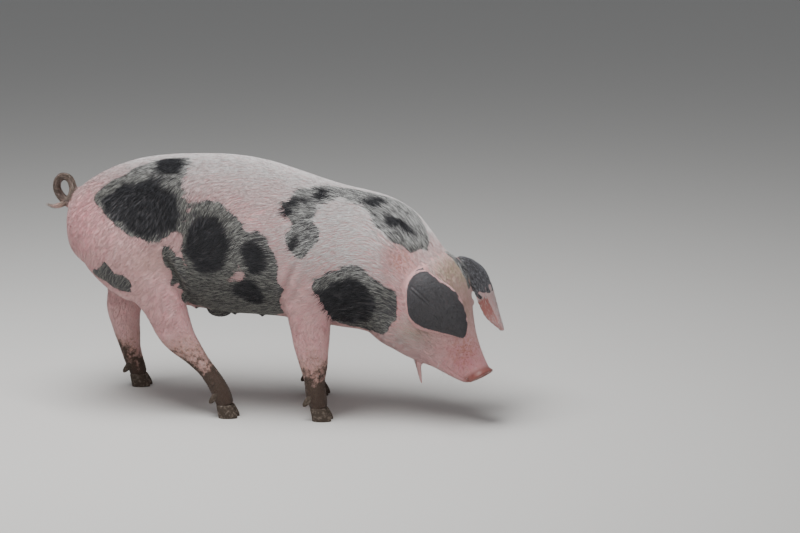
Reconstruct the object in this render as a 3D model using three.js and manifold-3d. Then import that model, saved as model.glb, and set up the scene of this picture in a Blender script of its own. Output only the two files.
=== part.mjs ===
// A young spotted pig rooting with its head down: stocky, hunched, lop-eared, tail in one loose curl.
// Millimetres, +Z up. The pig faces +X, its right side is -Y. The flesh is one body of joined lofts,
// parted by thin plane cuts into trunk, neck, head, snout and legs. Ears, eyes, tail and claws sit in
// pockets of their own. Every solid stands about a coat's depth proud of the bare skin.
import * as THREE from "three";
import { LoftGeometry } from "three/addons/geometries/LoftGeometry.js";
import { mergeVertices } from "three/addons/utils/BufferGeometryUtils.js";
import Module from "manifold-3d";

const GAP = 0.4; // clear space between neighbouring nodes
const FLOOR = -22; // level of the soles below the height zero that the stations are written in
const HEAD_YAW = THREE.MathUtils.degToRad(24); // how far the head is turned to the pig's right
const BEND_FROM = 280; // the neck starts to turn here
const BEND_TO = 440; // and is straight again from here on to the snout
const EYE_RADIUS = 12;
const EYE_SIDE = 60; // from the middle plane to the middle of each eye
const BODY_POINTS = 28; // points round the body
const LIMB_POINTS = 16; // points round a leg
const EAR_POINTS = 7; // points across an ear, each face

// Body stations, rump to snout, in the upright middle plane before the neck is turned: keel x, keel z,
// ridge x, ridge z, half width, how far up the section is widest, fullness above and below (2 = round).
const BODY = [
  [-484, 398, -492, 456, 38, 0.5, 2.2, 2.2],
  [-478, 362, -485, 494, 82, 0.5, 2.2, 2.2],
  [-462, 342, -467, 522, 112, 0.48, 2.2, 2.2],
  [-425, 316, -429, 551, 138, 0.46, 2.2, 2.2],
  [-375, 286, -375, 578, 151, 0.45, 2.2, 2.2],
  [-310, 258, -310, 599, 155, 0.45, 2.25, 2.2],
  [-238, 238, -235, 610, 154, 0.45, 2.3, 2.2],
  [-158, 227, -155, 614, 160, 0.44, 2.35, 2.2],
  [-70, 217, -70, 613, 168, 0.44, 2.35, 2.2],
  [10, 215, 12, 601, 170, 0.44, 2.3, 2.2],
  [85, 210, 87, 580, 166, 0.45, 2.25, 2.2],
  [150, 199, 150, 561, 159, 0.46, 2.2, 2.2],
  [212, 190, 208, 546, 151, 0.46, 2.1, 2.2],
  [250, 186, 260, 536, 146, 0.46, 2.1, 2.2],
  [275, 180, 318, 521, 140, 0.45, 2.1, 2.2],
  [288, 173, 374, 491, 134, 0.44, 2.1, 2.3],
  [302, 163, 416, 447, 126, 0.42, 2.1, 2.4],
  [325, 152, 451, 405, 118, 0.4, 2.2, 2.5],
  [352, 142, 488, 384, 108, 0.38, 2.4, 2.5],
  [385, 131, 514, 344, 98, 0.38, 2.6, 2.5],
  [423, 118, 531, 299, 84, 0.4, 2.7, 2.5],
  [459, 106, 542, 255, 68, 0.42, 2.6, 2.4],
  [491, 93, 555, 213, 54, 0.45, 2.4, 2.3],
  [518, 83, 573, 171, 44, 0.48, 2.3, 2.2],
  [538, 78, 591, 139, 38, 0.5, 2.2, 2.2],
  [550, 78, 602, 123, 36, 0.5, 2.2, 2.2],
  [559, 81, 609, 118, 38, 0.5, 2.1, 2.1],
  [564, 85, 608, 114, 33, 0.5, 2.1, 2.1],
];

// Leg stations, top to sole: x, y, z, half size fore and aft, half size across. Right legs have -y.
const HIND_RIGHT = [
  [-356, -66, 486, 92, 56],
  [-350, -80, 448, 106, 72],
  [-334, -93, 396, 108, 80],
  [-308, -101, 350, 92, 76],
  [-283, -108, 323, 78, 66],
  [-256, -114, 300, 64, 54],
  [-224, -121, 256, 56, 43],
  [-198, -126, 198, 50, 35],
  [-178, -129, 168, 43, 30],
  [-154, -131, 142, 34, 27],
  [-131, -132, 116, 26.5, 25],
  [-112, -132, 94, 23.5, 24],
  [-92, -132, 66, 23.5, 25],
  [-76, -132, 34, 24, 25.5],
  [-66, -132, 4, 22, 24],
];
const HIND_LEFT = [
  [-356, 66, 486, 92, 56],
  [-360, 80, 444, 106, 72],
  [-364, 93, 392, 106, 79],
  [-372, 102, 346, 92, 74],
  [-381, 110, 304, 76, 62],
  [-388, 117, 264, 59, 48],
  [-393, 121, 225, 49, 39],
  [-399, 124, 184, 48, 33],
  [-397, 126, 150, 42, 29],
  [-391, 127, 112, 36, 26.5],
  [-385, 128, 78, 29, 25],
  [-377, 128, 48, 26, 25.5],
  [-368, 128, 22, 23.5, 25],
  [-363, 128, 4, 22, 24],
];
const FORE_RIGHT = [
  [166, -76, 432, 84, 54],
  [162, -90, 375, 82, 60],
  [152, -103, 318, 72, 56],
  [144, -112, 272, 62, 49],
  [144, -117, 236, 56, 42],
  [147, -119, 205, 52, 37],
  [149, -120, 170, 48, 33],
  [152, -121, 132, 40, 29],
  [155, -121, 100, 33, 26],
  [157, -121, 72, 27.5, 25],
  [160, -121, 44, 27, 26.5],
  [165, -121, 20, 24, 25.5],
  [169, -121, 4, 22, 24],
];
const FORE_LEFT = [
  [150, 76, 432, 84, 54],
  [140, 90, 375, 80, 58],
  [126, 103, 318, 70, 54],
  [112, 112, 272, 60, 47],
  [105, 116, 236, 53, 41],
  [102, 118, 203, 48, 36],
  [100, 119, 168, 43, 32],
  [99, 120, 132, 37, 29],
  [99, 120, 100, 31.5, 26],
  [100, 120, 72, 27, 25],
  [103, 120, 44, 27, 26.5],
  [109, 120, 20, 24, 25.5],
  [112, 120, 4, 22, 24],
];

// Tail stations, root to tip: x, y, z, radius. It leaves the rump on the far side, rises, and comes
// down past the root on the near side with its tip trailing behind.
const TAIL = [
  [-472, 2, 464, 15],
  [-495, 8, 474, 14],
  [-517, 13, 486, 13],
  [-534, 14, 508, 12],
  [-531, 8, 533, 11.5],
  [-511, -4, 548, 11],
  [-488, -18, 543, 11],
  [-475, -31, 522, 11],
  [-479, -41, 500, 10.5],
  [-497, -46, 486, 10],
  [-516, -44, 479, 8.5],
  [-532, -41, 478, 6],
  [-543, -39, 480, 3],
];

// Ear stations, root to tip: the two edges of the flap, how far its middle bulges outward, thickness.
const EAR_RIGHT = [
  [402, -98, 322, 434, -82, 350, 6, 16],
  [392, -120, 318, 432, -108, 362, 10, 14],
  [386, -138, 300, 448, -124, 360, 14, 12],
  [387, -147, 276, 474, -132, 346, 17, 10],
  [396, -150, 246, 502, -136, 330, 17, 10],
  [416, -150, 226, 524, -140, 304, 16, 10],
  [450, -149, 217, 537, -142, 270, 13, 10],
  [488, -148, 212, 541, -143, 240, 9, 9],
  [517, -146, 207, 537, -143, 216, 5, 8],
  [528, -146, 205, 534, -144, 209, 2, 6],
];
const EAR_LEFT = [
  [468, -14, 352, 470, 40, 336, 6, 16],
  [486, -16, 366, 494, 48, 352, 10, 14],
  [504, -18, 352, 524, 56, 354, 12, 12],
  [520, -15, 318, 551, 60, 336, 12, 9],
  [536, -8, 284, 569, 60, 299, 11, 9],
  [548, -3, 254, 580, 58, 264, 11, 9],
  [562, 0, 226, 591, 52, 227, 10, 9],
  [584, 6, 204, 601, 40, 200, 7, 8],
  [600, 16, 188, 606, 30, 186, 3, 6],
];

// Planes that part the body: a point and the direction across the cut, in finished world space.
const NECK_CUT = [new THREE.Vector3(278, 0, 300), new THREE.Vector3(1, 0, -0.14)];
const HEAD_CUT = [new THREE.Vector3(400, 0, 300), new THREE.Vector3(0.86, -0.29, -0.42)];
const SNOUT_CUT = [new THREE.Vector3(541, -80, 128), new THREE.Vector3(0.497, -0.222, -0.839)];

const wasm = await Module();
wasm.setup();
const { Manifold, Mesh: SolidMesh } = wasm;

// A closed three.js geometry as a solid, with the loft's seam points joined.
function solid(geometry) {
  const plain = new THREE.BufferGeometry().setIndex(geometry.index);
  plain.setAttribute("position", geometry.attributes.position);
  const merged = mergeVertices(plain, 1e-3);
  return new Manifold(
    new SolidMesh({
      numProp: 3,
      vertProperties: merged.attributes.position.array,
      triVerts: new Uint32Array(merged.index.array),
    }),
  );
}

// A ball about the origin, with so many sides round its equator.
const ball = (radius, sides) => solid(new THREE.SphereGeometry(radius, sides, sides / 2));

// Catmull-Rom through rows of numbers, so a few stations give a smooth run of them.
function smoothRows(rows, steps) {
  const out = [];
  const at = (i) => rows[Math.min(Math.max(i, 0), rows.length - 1)];
  for (let i = 0; i < rows.length - 1; i++)
    for (let k = 0; k < steps; k++) {
      const t = k / steps;
      out.push(
        at(i).map((p1, c) => {
          const p0 = i ? at(i - 1)[c] : 2 * p1 - at(1)[c];
          const p2 = at(i + 1)[c];
          const p3 = i < rows.length - 2 ? at(i + 2)[c] : 2 * p2 - p1;
          return (
            0.5 *
            (2 * p1 + (p2 - p0) * t + (2 * p0 - 5 * p1 + 4 * p2 - p3) * t * t +
              (3 * p1 - p0 - 3 * p2 + p3) * t ** 3)
          );
        }),
      );
    }
  out.push(rows[rows.length - 1]);
  return out;
}

// Turns the straight neck and head to the pig's right: a circular bend of HEAD_YAW about an upright
// axis between BEND_FROM and BEND_TO, straight on beyond it.
function bend(x, side, z) {
  const run = Math.min(Math.max(x - BEND_FROM, 0), BEND_TO - BEND_FROM);
  const radius = (BEND_TO - BEND_FROM) / HEAD_YAW;
  const angle = run / radius;
  const rest = Math.min(x - BEND_FROM, 0) + Math.max(x - BEND_TO, 0);
  const [s, c] = [Math.sin(angle), Math.cos(angle)];
  const cx = BEND_FROM + radius * s + rest * (x > BEND_TO ? c : 1);
  const cy = -radius * (1 - c) - (x > BEND_TO ? rest * s : 0);
  return new THREE.Vector3(cx + side * s, cy + side * c, z);
}

const power = (v, n) => Math.sign(v) * Math.abs(v) ** (2 / n);

// One cross-section of the body, round from the left side over the ridge, `extra` larger all round.
function bodySection([kx, kz, rx, rz, half, widest, full, fullLow], extra) {
  const high = new THREE.Vector2(rx - kx, rz - kz).setLength(extra);
  [kx, kz, rx, rz, half] = [kx - high.x, kz - high.y, rx + high.x, rz + high.y, half + extra];
  const ring = [];
  for (let i = 0; i < BODY_POINTS; i++) {
    const a = (i / BODY_POINTS) * 2 * Math.PI;
    const n = Math.sin(a) > 0 ? full : fullLow;
    const up = power(Math.sin(a), n);
    const h = widest + up * (up > 0 ? 1 - widest : widest);
    ring.push(bend(kx + (rx - kx) * h, half * power(Math.cos(a), n), kz + (rz - kz) * h));
  }
  return ring;
}

// A limb or tail: ellipses square to a smooth path. Rows are x, y, z, fore-aft half, side half.
function tube(rows, steps, points) {
  const path = smoothRows(rows, steps);
  const centre = (i) => new THREE.Vector3(...path[Math.min(Math.max(i, 0), path.length - 1)].slice(0, 3));
  const rings = path.map((row, i) => {
    const along = centre(i + 1).sub(centre(i - 1)).normalize();
    const side = new THREE.Vector3(0, 1, 0).addScaledVector(along, -along.y).normalize();
    const fore = side.clone().cross(along);
    return Array.from({ length: points }, (_, k) => {
      const a = (k / points) * 2 * Math.PI;
      return centre(i)
        .addScaledVector(fore, row[3] * Math.cos(a))
        .addScaledVector(side, row[4] * Math.sin(a));
    });
  });
  return solid(new LoftGeometry(rings, { closed: true, capStart: true, capEnd: true }));
}

// An ear: between its two edges each section bows outward, and thins to a rounded rim. It grows by
// `extra` all round, for cutting its pocket.
function earSolid(rows, outward, extra) {
  const path = smoothRows(rows, 1);
  const mid = (i) => {
    const r = path[Math.min(Math.max(i, 0), path.length - 1)];
    return new THREE.Vector3((r[0] + r[3]) / 2, (r[1] + r[4]) / 2, (r[2] + r[5]) / 2);
  };
  const rings = path.map((r, i) => {
    const half = new THREE.Vector3(r[3] - r[0], r[4] - r[1], r[5] - r[2]).multiplyScalar(0.5);
    const along = mid(i + 1).sub(mid(i - 1)).normalize();
    const normal = half.clone().cross(along).normalize();
    if (normal.dot(outward) < 0) normal.negate();
    const across = half.clone().normalize();
    const reach = half.length() + extra;
    const end = i === 0 ? -extra : i === path.length - 1 ? extra : 0;
    const ring = [];
    for (let face = 1; face >= -1; face -= 2)
      for (let k = 0; k < EAR_POINTS; k++) {
        const t = face * Math.cos((Math.PI * (k + 0.5)) / EAR_POINTS);
        const thick = (r[7] / 2 + extra) * Math.sqrt(Math.sqrt(1 - t * t));
        ring.push(
          mid(i)
            .addScaledVector(across, reach * t)
            .addScaledVector(normal, r[6] * (1 - t * t) + face * thick)
            .addScaledVector(along, end),
        );
      }
    const turn = across.clone().cross(normal).dot(along);
    return turn > 0 ? ring : ring.reverse();
  });
  return solid(new LoftGeometry(rings, { closed: true, capStart: true, capEnd: true }));
}

const unit = ([point, direction]) => [point, direction.clone().normalize()];
// Keeps what lies beyond a cut plane, less half the gap.
function beyond(body, plane) {
  const [p, n] = unit(plane);
  return body.trimByPlane(n.toArray(), n.dot(p) + GAP / 2);
}
// Keeps what lies before a cut plane, less half the gap.
function before(body, plane) {
  const [p, n] = unit(plane);
  return body.trimByPlane(n.clone().negate().toArray(), -n.dot(p) + GAP / 2);
}

// The main piece of a body that a cut has left in several.
const largest = (body) => body.decompose().reduce((a, b) => (b.volume() > a.volume() ? b : a));

const group = new THREE.Group();
// The finished solid as a named mesh.
function add(name, body) {
  const { vertProperties, triVerts } = body.simplify(0.05).getMesh();
  const geometry = new THREE.BufferGeometry();
  geometry.setAttribute("position", new THREE.BufferAttribute(Float32Array.from(vertProperties), 3));
  geometry.setIndex(Array.from(triVerts));
  const mesh = new THREE.Mesh(geometry);
  mesh.name = name;
  group.add(mesh);
}

// A claw: half a hoof, a blunt wedge with a flat sole, leaning forward at the toe.
function claw(x, y, inner) {
  const ring = (z, front, back, wide, lean) =>
    Array.from({ length: 16 }, (_, k) => {
      const a = (k / 16) * 2 * Math.PI;
      const c = Math.cos(a);
      const taper = c > 0 ? 1 - 0.35 * c * c : 1;
      return new THREE.Vector3(
        x + lean + (c > 0 ? front : back) * c,
        y + inner * (-0.12 * wide * c) + wide * taper * Math.sin(a),
        FLOOR + z,
      );
    });
  const rings = [
    ring(0, 27, 20, 12, 3),
    ring(5, 27.5, 20.5, 12.6, 3),
    ring(18, 24, 20.5, 12.5, 1),
    ring(31, 19, 20, 11.6, -2),
  ];
  return solid(new LoftGeometry(rings, { closed: true, capStart: true, capEnd: true }));
}

// A dewclaw: a small blunt cone behind the foot, clear of the floor.
function dewclaw(x, y, z, out, extra) {
  const rows = [
    [x + 14, y - 2 * out, z + 15, 9, 8],
    [x + 4, y, z + 5, 8.5, 7.5],
    [x - 5, y + 1.5 * out, z - 6, 6.5, 6],
    [x - 9, y + 2 * out, z - 12, 3.5, 3.5],
  ].map((r) => [r[0], r[1], r[2], r[3] + extra, r[4] + extra]);
  return tube(rows, 1, 8);
}

// The flesh from rump to snout as one body.
function bodySolid(extra) {
  const rings = BODY.map((row) => bodySection(row, extra));
  return solid(new LoftGeometry(rings, { closed: true, capStart: true, capEnd: true }));
}
let flesh = bodySolid(0);

const sheath = ball(1, 14).scale([36, 19, 24]).rotate([0, -12, 0]).translate([-112, 0, 219]);
const tassel = tube(
  [[402, -57, 144, 10, 10], [406, -59, 112, 6.5, 6.5], [410, -61, 88, 4.5, 4.5], [415, -63, 64, 2, 2]],
  2,
  10,
);
flesh = flesh.add(sheath).add(tassel);

// Legs: each is a loft standing on the side of the trunk, parted square to its run into thigh or upper
// arm, shank and foot, above two claws and two dewclaws. The numbers are the stations it is cut at.
const LEGS = [
  ["fore_right", FORE_RIGHT, 5, 8],
  ["fore_left", FORE_LEFT, 5, 8],
  ["hind_right", HIND_RIGHT, 7, 10],
  ["hind_left", HIND_LEFT, 6, 9],
];
const roomForBody = bodySolid(GAP);
for (const [name, rows, knee, ankle] of LEGS) {
  const leg = tube(rows, 1, LIMB_POINTS).subtract(roomForBody);
  const cut = (i) => {
    const along = new THREE.Vector3(...rows[i + 1].slice(0, 3)).sub(new THREE.Vector3(...rows[i - 1].slice(0, 3)));
    return [new THREE.Vector3(...rows[i].slice(0, 3)), along];
  };
  const foot = rows[rows.length - 1];
  const coronet = [new THREE.Vector3(foot[0], foot[1], FLOOR + 31.2), new THREE.Vector3(-0.1, 0, -1)];
  add(name + "_upper", largest(before(leg, cut(knee))));
  add(name + "_shank", before(beyond(leg, cut(knee)), cut(ankle)));
  let pastern = before(beyond(leg, cut(ankle)), coronet);
  for (const out of [-1, 1]) {
    const side = out * Math.sign(foot[1]) > 0 ? "outer" : "inner";
    const y = foot[1] + out * 13.2;
    const half = claw(foot[0] + 1, y, out);
    add(name + "_claw_" + side, half.subtract(pastern));
    const at = [foot[0] - 27, foot[1] + out * 17, FLOOR + 50];
    pastern = pastern.subtract(dewclaw(...at, out, GAP));
    add(name + "_dewclaw_" + side, dewclaw(...at, out, 0));
  }
  add(name + "_foot", pastern);
}

// Eyes fill their sockets at the sides of the forehead.
for (const [name, side] of [["eye_right", -EYE_SIDE], ["eye_left", EYE_SIDE]]) {
  const at = bend(510, side, 264).toArray();
  flesh = flesh.subtract(ball(EYE_RADIUS + GAP, 12).translate(at));
  add(name, ball(EYE_RADIUS, 12).translate(at));
}

// Two nostrils sunk in the snout disc.
const discAxis = SNOUT_CUT[1].clone().normalize();
for (const side of [-13, 13]) {
  const at = bend(589, side, 101).addScaledVector(discAxis, 1).toArray();
  flesh = flesh.subtract(ball(1, 10).scale([7, 5.5, 7]).translate(at));
}

// Ears and tail, each in its own pocket.
for (const [name, rows, outward] of [
  ["ear_right", EAR_RIGHT, new THREE.Vector3(0.3, -1, 0.3)],
  ["ear_left", EAR_LEFT, new THREE.Vector3(1, 0, 0.3)],
]) {
  flesh = flesh.subtract(earSolid(rows, outward, GAP));
  add(name, earSolid(rows, outward, 0));
}
const round = (extra) => TAIL.map(([x, y, z, r]) => [x, y, z, r + extra, r + extra]);
flesh = flesh.subtract(tube(round(GAP), 2, 10));
add("tail", tube(round(0), 2, 10));

add("trunk", before(flesh, NECK_CUT));
add("neck", before(beyond(flesh, NECK_CUT), HEAD_CUT));
add("head", before(beyond(flesh, HEAD_CUT), SNOUT_CUT));
add("snout", beyond(flesh, SNOUT_CUT));

// Origin: middle of the bounding box, on the floor.
const box = new THREE.Box3().setFromObject(group);
const centre = box.getCenter(new THREE.Vector3());
group.position.set(-centre.x, -centre.y, -box.min.z);

export default group;
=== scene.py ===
"""A young spotted pig, life size, standing hunched on four feet with its head lowered to the ground.

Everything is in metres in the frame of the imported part: the trunk faces +X, the right side is -Y and
the floor is z = 0. Body stations are written in millimetres in the pig's own straight frame.
"""

import math

import bmesh
import bpy
import numpy as np
from mathutils import Matrix, Vector
from mathutils.bvhtree import BVHTree


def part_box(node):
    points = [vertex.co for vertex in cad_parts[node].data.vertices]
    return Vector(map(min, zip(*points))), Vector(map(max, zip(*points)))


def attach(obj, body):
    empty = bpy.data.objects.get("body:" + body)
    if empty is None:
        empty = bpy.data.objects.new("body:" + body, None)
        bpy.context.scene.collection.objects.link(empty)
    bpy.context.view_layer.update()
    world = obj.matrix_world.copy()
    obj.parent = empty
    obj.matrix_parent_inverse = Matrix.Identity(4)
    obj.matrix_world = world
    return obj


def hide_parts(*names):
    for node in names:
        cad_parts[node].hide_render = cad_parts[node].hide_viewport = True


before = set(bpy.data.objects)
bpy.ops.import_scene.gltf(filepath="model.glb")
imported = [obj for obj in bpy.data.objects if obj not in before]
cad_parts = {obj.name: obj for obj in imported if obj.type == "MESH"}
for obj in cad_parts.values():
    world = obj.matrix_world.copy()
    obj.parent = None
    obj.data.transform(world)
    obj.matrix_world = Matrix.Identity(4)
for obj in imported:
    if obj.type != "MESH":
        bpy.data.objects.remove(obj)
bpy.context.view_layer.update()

# ---------------------------------------------------------------------------------------------------
# Camera. A long lens stands off the pig's right side, a little ahead of square and a little above the
# back, and looks slightly down: upright picture, no shift, no depth of field.
CAMERA_AZIMUTH = math.radians(10)
CAMERA_ELEVATION = math.radians(12)
CAMERA_DISTANCE = 6.0
LENS_MM = 108
SENSOR_MM = 36
MID_FLANK = Vector((-0.0324, 0.0006, 0.367))  # the point that the framing is measured from
FRAME_OFFSET = (-0.345, 0.01125)  # where that point lies in the picture, right and up of its middle


def object_of(name, data):
    """A mesh, camera or light as a new object in the scene."""
    thing = bpy.data.objects.new(name, data)
    bpy.context.scene.collection.objects.link(thing)
    return thing


level = math.cos(CAMERA_ELEVATION)
back_axis = Vector(
    (math.sin(CAMERA_AZIMUTH) * level, -math.cos(CAMERA_AZIMUTH) * level, math.sin(CAMERA_ELEVATION))
)
right_axis = Vector((math.cos(CAMERA_AZIMUTH), math.sin(CAMERA_AZIMUTH), 0))
up_axis = back_axis.cross(right_axis)
camera_data = bpy.data.cameras.new("camera")
camera_data.lens = LENS_MM
camera_data.sensor_width = SENSOR_MM
camera = object_of("camera", camera_data)
turn = Matrix((right_axis, up_axis, back_axis)).transposed().to_4x4()
place = MID_FLANK + back_axis * CAMERA_DISTANCE - right_axis * FRAME_OFFSET[0] - up_axis * FRAME_OFFSET[1]
camera.matrix_world = Matrix.Translation(place) @ turn
bpy.context.scene.camera = camera

# ---------------------------------------------------------------------------------------------------
# Flesh. The trunk, neck, head and snout are one loft of upright cross-sections from rump to nose; legs,
# tail, ears, sheath and chin tassel grow out of it. Stations are in millimetres, before the neck turns.
HEAD_YAW = math.radians(24)  # the head is turned this far to the pig's right
BEND_FROM = 280
BEND_TO = 440
BEND_RADIUS = (BEND_TO - BEND_FROM) / HEAD_YAW
EYE_RADIUS = 12
EYE_AT = (510, 60, 264)  # x, side, z of each eye
EYE_SINK = 2  # the balls lie this much deeper, as the bare skin does
FLOOR_LEVEL = -22  # height of the ground

# keel x, keel z, ridge x, ridge z, half width, height of the widest level, fullness above and below it
BODY = [
    (-484, 398, -492, 456, 38, 0.5, 2.2, 2.2),
    (-478, 362, -485, 494, 82, 0.5, 2.2, 2.2),
    (-462, 342, -467, 522, 112, 0.48, 2.2, 2.2),
    (-425, 316, -429, 551, 138, 0.46, 2.2, 2.2),
    (-375, 286, -375, 578, 151, 0.45, 2.2, 2.2),
    (-310, 258, -310, 599, 155, 0.45, 2.25, 2.2),
    (-238, 238, -235, 610, 154, 0.45, 2.3, 2.2),
    (-158, 227, -155, 614, 160, 0.44, 2.35, 2.2),
    (-70, 217, -70, 613, 168, 0.44, 2.35, 2.2),
    (10, 215, 12, 601, 170, 0.44, 2.3, 2.2),
    (85, 210, 87, 580, 166, 0.45, 2.25, 2.2),
    (150, 199, 150, 561, 159, 0.46, 2.2, 2.2),
    (212, 190, 208, 546, 151, 0.46, 2.1, 2.2),
    (250, 186, 260, 536, 146, 0.46, 2.1, 2.2),
    (275, 180, 318, 521, 140, 0.45, 2.1, 2.2),
    (288, 173, 374, 491, 134, 0.44, 2.1, 2.3),
    (302, 163, 416, 447, 126, 0.42, 2.1, 2.4),
    (325, 152, 451, 405, 118, 0.4, 2.2, 2.5),
    (352, 142, 488, 384, 108, 0.38, 2.4, 2.5),
    (385, 131, 514, 344, 98, 0.38, 2.6, 2.5),
    (423, 118, 531, 299, 84, 0.4, 2.7, 2.5),
    (459, 106, 542, 255, 68, 0.42, 2.6, 2.4),
    (491, 93, 555, 213, 54, 0.45, 2.4, 2.3),
    (518, 83, 573, 171, 44, 0.48, 2.3, 2.2),
    (538, 78, 591, 139, 38, 0.5, 2.2, 2.2),
    (550, 78, 602, 123, 36, 0.5, 2.2, 2.2),
    (559, 81, 609, 118, 38, 0.5, 2.1, 2.1),
    (564, 85, 608, 114, 33, 0.5, 2.1, 2.1),
]

# Legs, top to coronet: x, y, z, half size fore and aft, half size across.
LEGS = {
    "hind_right": [
        (-356, -66, 486, 92, 56),
        (-350, -80, 448, 106, 72),
        (-334, -93, 396, 108, 80),
        (-308, -101, 350, 92, 76),
        (-283, -108, 323, 78, 66),
        (-256, -114, 300, 64, 54),
        (-224, -121, 256, 56, 43),
        (-198, -126, 198, 50, 35),
        (-178, -129, 168, 43, 30),
        (-154, -131, 142, 34, 27),
        (-131, -132, 116, 26.5, 25),
        (-112, -132, 94, 23.5, 24),
        (-92, -132, 66, 23.5, 25),
        (-76, -132, 34, 24, 25.5),
        (-67, -132, 7, 22, 24),
    ],
    "hind_left": [
        (-356, 66, 486, 92, 56),
        (-360, 80, 444, 106, 72),
        (-364, 93, 392, 106, 79),
        (-372, 102, 346, 92, 74),
        (-381, 110, 304, 76, 62),
        (-388, 117, 264, 59, 48),
        (-393, 121, 225, 49, 39),
        (-399, 124, 184, 48, 33),
        (-397, 126, 150, 42, 29),
        (-391, 127, 112, 36, 26.5),
        (-385, 128, 78, 29, 25),
        (-377, 128, 48, 26, 25.5),
        (-368, 128, 22, 23.5, 25),
        (-364, 128, 7, 22, 24),
    ],
    "fore_right": [
        (166, -76, 432, 84, 54),
        (162, -90, 375, 82, 60),
        (152, -103, 318, 72, 56),
        (144, -112, 272, 62, 49),
        (144, -117, 236, 56, 42),
        (147, -119, 205, 52, 37),
        (149, -120, 170, 48, 33),
        (152, -121, 132, 40, 29),
        (155, -121, 100, 33, 26),
        (157, -121, 72, 27.5, 25),
        (160, -121, 44, 27, 26.5),
        (165, -121, 20, 24, 25.5),
        (168, -121, 7, 22, 24),
    ],
    "fore_left": [
        (150, 76, 432, 84, 54),
        (140, 90, 375, 80, 58),
        (126, 103, 318, 70, 54),
        (112, 112, 272, 60, 47),
        (105, 116, 236, 53, 41),
        (102, 118, 203, 48, 36),
        (100, 119, 168, 43, 32),
        (99, 120, 132, 37, 29),
        (99, 120, 100, 31.5, 26),
        (100, 120, 72, 27, 25),
        (103, 120, 44, 27, 26.5),
        (109, 120, 20, 24, 25.5),
        (111, 120, 7, 22, 24),
    ],
}

# Tail, root to tip: x, y, z, radius: up and over the far side, down past the root, tip trailing behind.
TAIL = [
    (-466, 0, 460, 15),
    (-495, 8, 474, 13.5),
    (-517, 13, 486, 12.5),
    (-533, 14, 508, 11.5),
    (-530, 8, 533, 11),
    (-511, -4, 548, 10.5),
    (-489, -18, 543, 10.2),
    (-478, -31, 522, 10),
    (-483, -42, 500, 9.5),
    (-499, -46, 486, 8.8),
    (-516, -44, 479, 7.5),
    (-530, -41, 478, 5.5),
    (-540, -39.5, 480, 3.5),
]
TAIL_LINE = [row[:3] for row in TAIL]
TASSEL = [(402, -57, 146, 9.5), (406, -59, 112, 6), (410, -61, 88, 4.4), (414.5, -63, 66, 2.6)]

# Ears, root to tip: the two edges of the flap, how far its middle bulges outward, its thickness.
EARS = {
    "ear_right": [
        (402, -98, 322, 434, -82, 350, 6, 14),
        (392, -120, 318, 432, -108, 362, 10, 11),
        (386, -138, 300, 448, -124, 360, 14, 8),
        (387, -147, 276, 474, -132, 346, 17, 6.5),
        (396, -150, 246, 502, -136, 330, 17, 6),
        (416, -150, 226, 524, -140, 304, 16, 6),
        (450, -149, 217, 537, -142, 270, 13, 6),
        (488, -148, 212, 541, -143, 240, 9, 6),
        (517, -146, 207, 537, -143, 216, 5, 5.5),
        (528, -146, 205, 534, -144, 209, 2, 5),
    ],
    "ear_left": [
        (468, -14, 352, 470, 40, 336, 6, 14),
        (486, -16, 366, 494, 48, 352, 10, 11),
        (504, -18, 352, 524, 56, 354, 12, 8),
        (520, -15, 318, 551, 60, 336, 12, 6.5),
        (536, -8, 284, 569, 60, 299, 11, 6),
        (548, -3, 254, 580, 58, 264, 11, 6),
        (562, 0, 226, 591, 52, 227, 10, 6),
        (584, 6, 204, 601, 40, 200, 7, 5.5),
        (600, 16, 188, 606, 30, 186, 3, 5),
    ],
}
EAR_OUTWARD = {"ear_right": (0.3, -1, 0.3), "ear_left": (1, 0, 0.3)}


def bend_at(x):
    """Sine and cosine of how far the long axis has turned at each x: the arc's length over its radius."""
    angle = np.clip(x - BEND_FROM, 0, BEND_TO - BEND_FROM) / BEND_RADIUS
    return np.sin(angle), np.cos(angle)


def turned(x, side, z):
    """The circular bend of the neck: from BEND_FROM to BEND_TO the long axis follows an arc of
    BEND_RADIUS towards -Y, before and beyond it stays straight; `side` stays square to the axis."""
    x, side, z = np.broadcast_arrays(*(np.asarray(v, float) for v in (x, side, z)))
    before = np.minimum(x - BEND_FROM, 0)
    beyond = np.maximum(x - BEND_TO, 0)
    s, c = bend_at(x)
    along = BEND_FROM + BEND_RADIUS * s + before + beyond * c + side * s
    across = -BEND_RADIUS * (1 - c) - beyond * s + side * c
    return np.stack([along, across, z], -1)


def straightened(p):
    """The inverse of `turned`: finished places back to x, side and z along the straight pig."""
    x, y, z = p[:, 0], p[:, 1], p[:, 2]
    angle = np.clip(np.arctan2(x - BEND_FROM, y + BEND_RADIUS), 0, HEAD_YAW)
    s, c = np.sin(angle), np.cos(angle)
    dx, dy = x - BEND_FROM - BEND_RADIUS * s, y + BEND_RADIUS * (1 - c)
    along = BEND_FROM + BEND_RADIUS * angle + dx * c - dy * s
    return np.stack([along, dx * s + dy * c, z], -1)


eye_low, eye_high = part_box("eye_right")
ORIGIN = np.array((eye_low + eye_high) / 2) - turned(EYE_AT[0], -EYE_AT[1], EYE_AT[2]) / 1000


def placed(p):
    """Millimetres in the pig's own frame to metres in the part's frame."""
    return np.asarray(p) / 1000 + ORIGIN


def own_place(p):
    """The inverse of `placed`."""
    return (p - ORIGIN) * 1000


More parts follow.
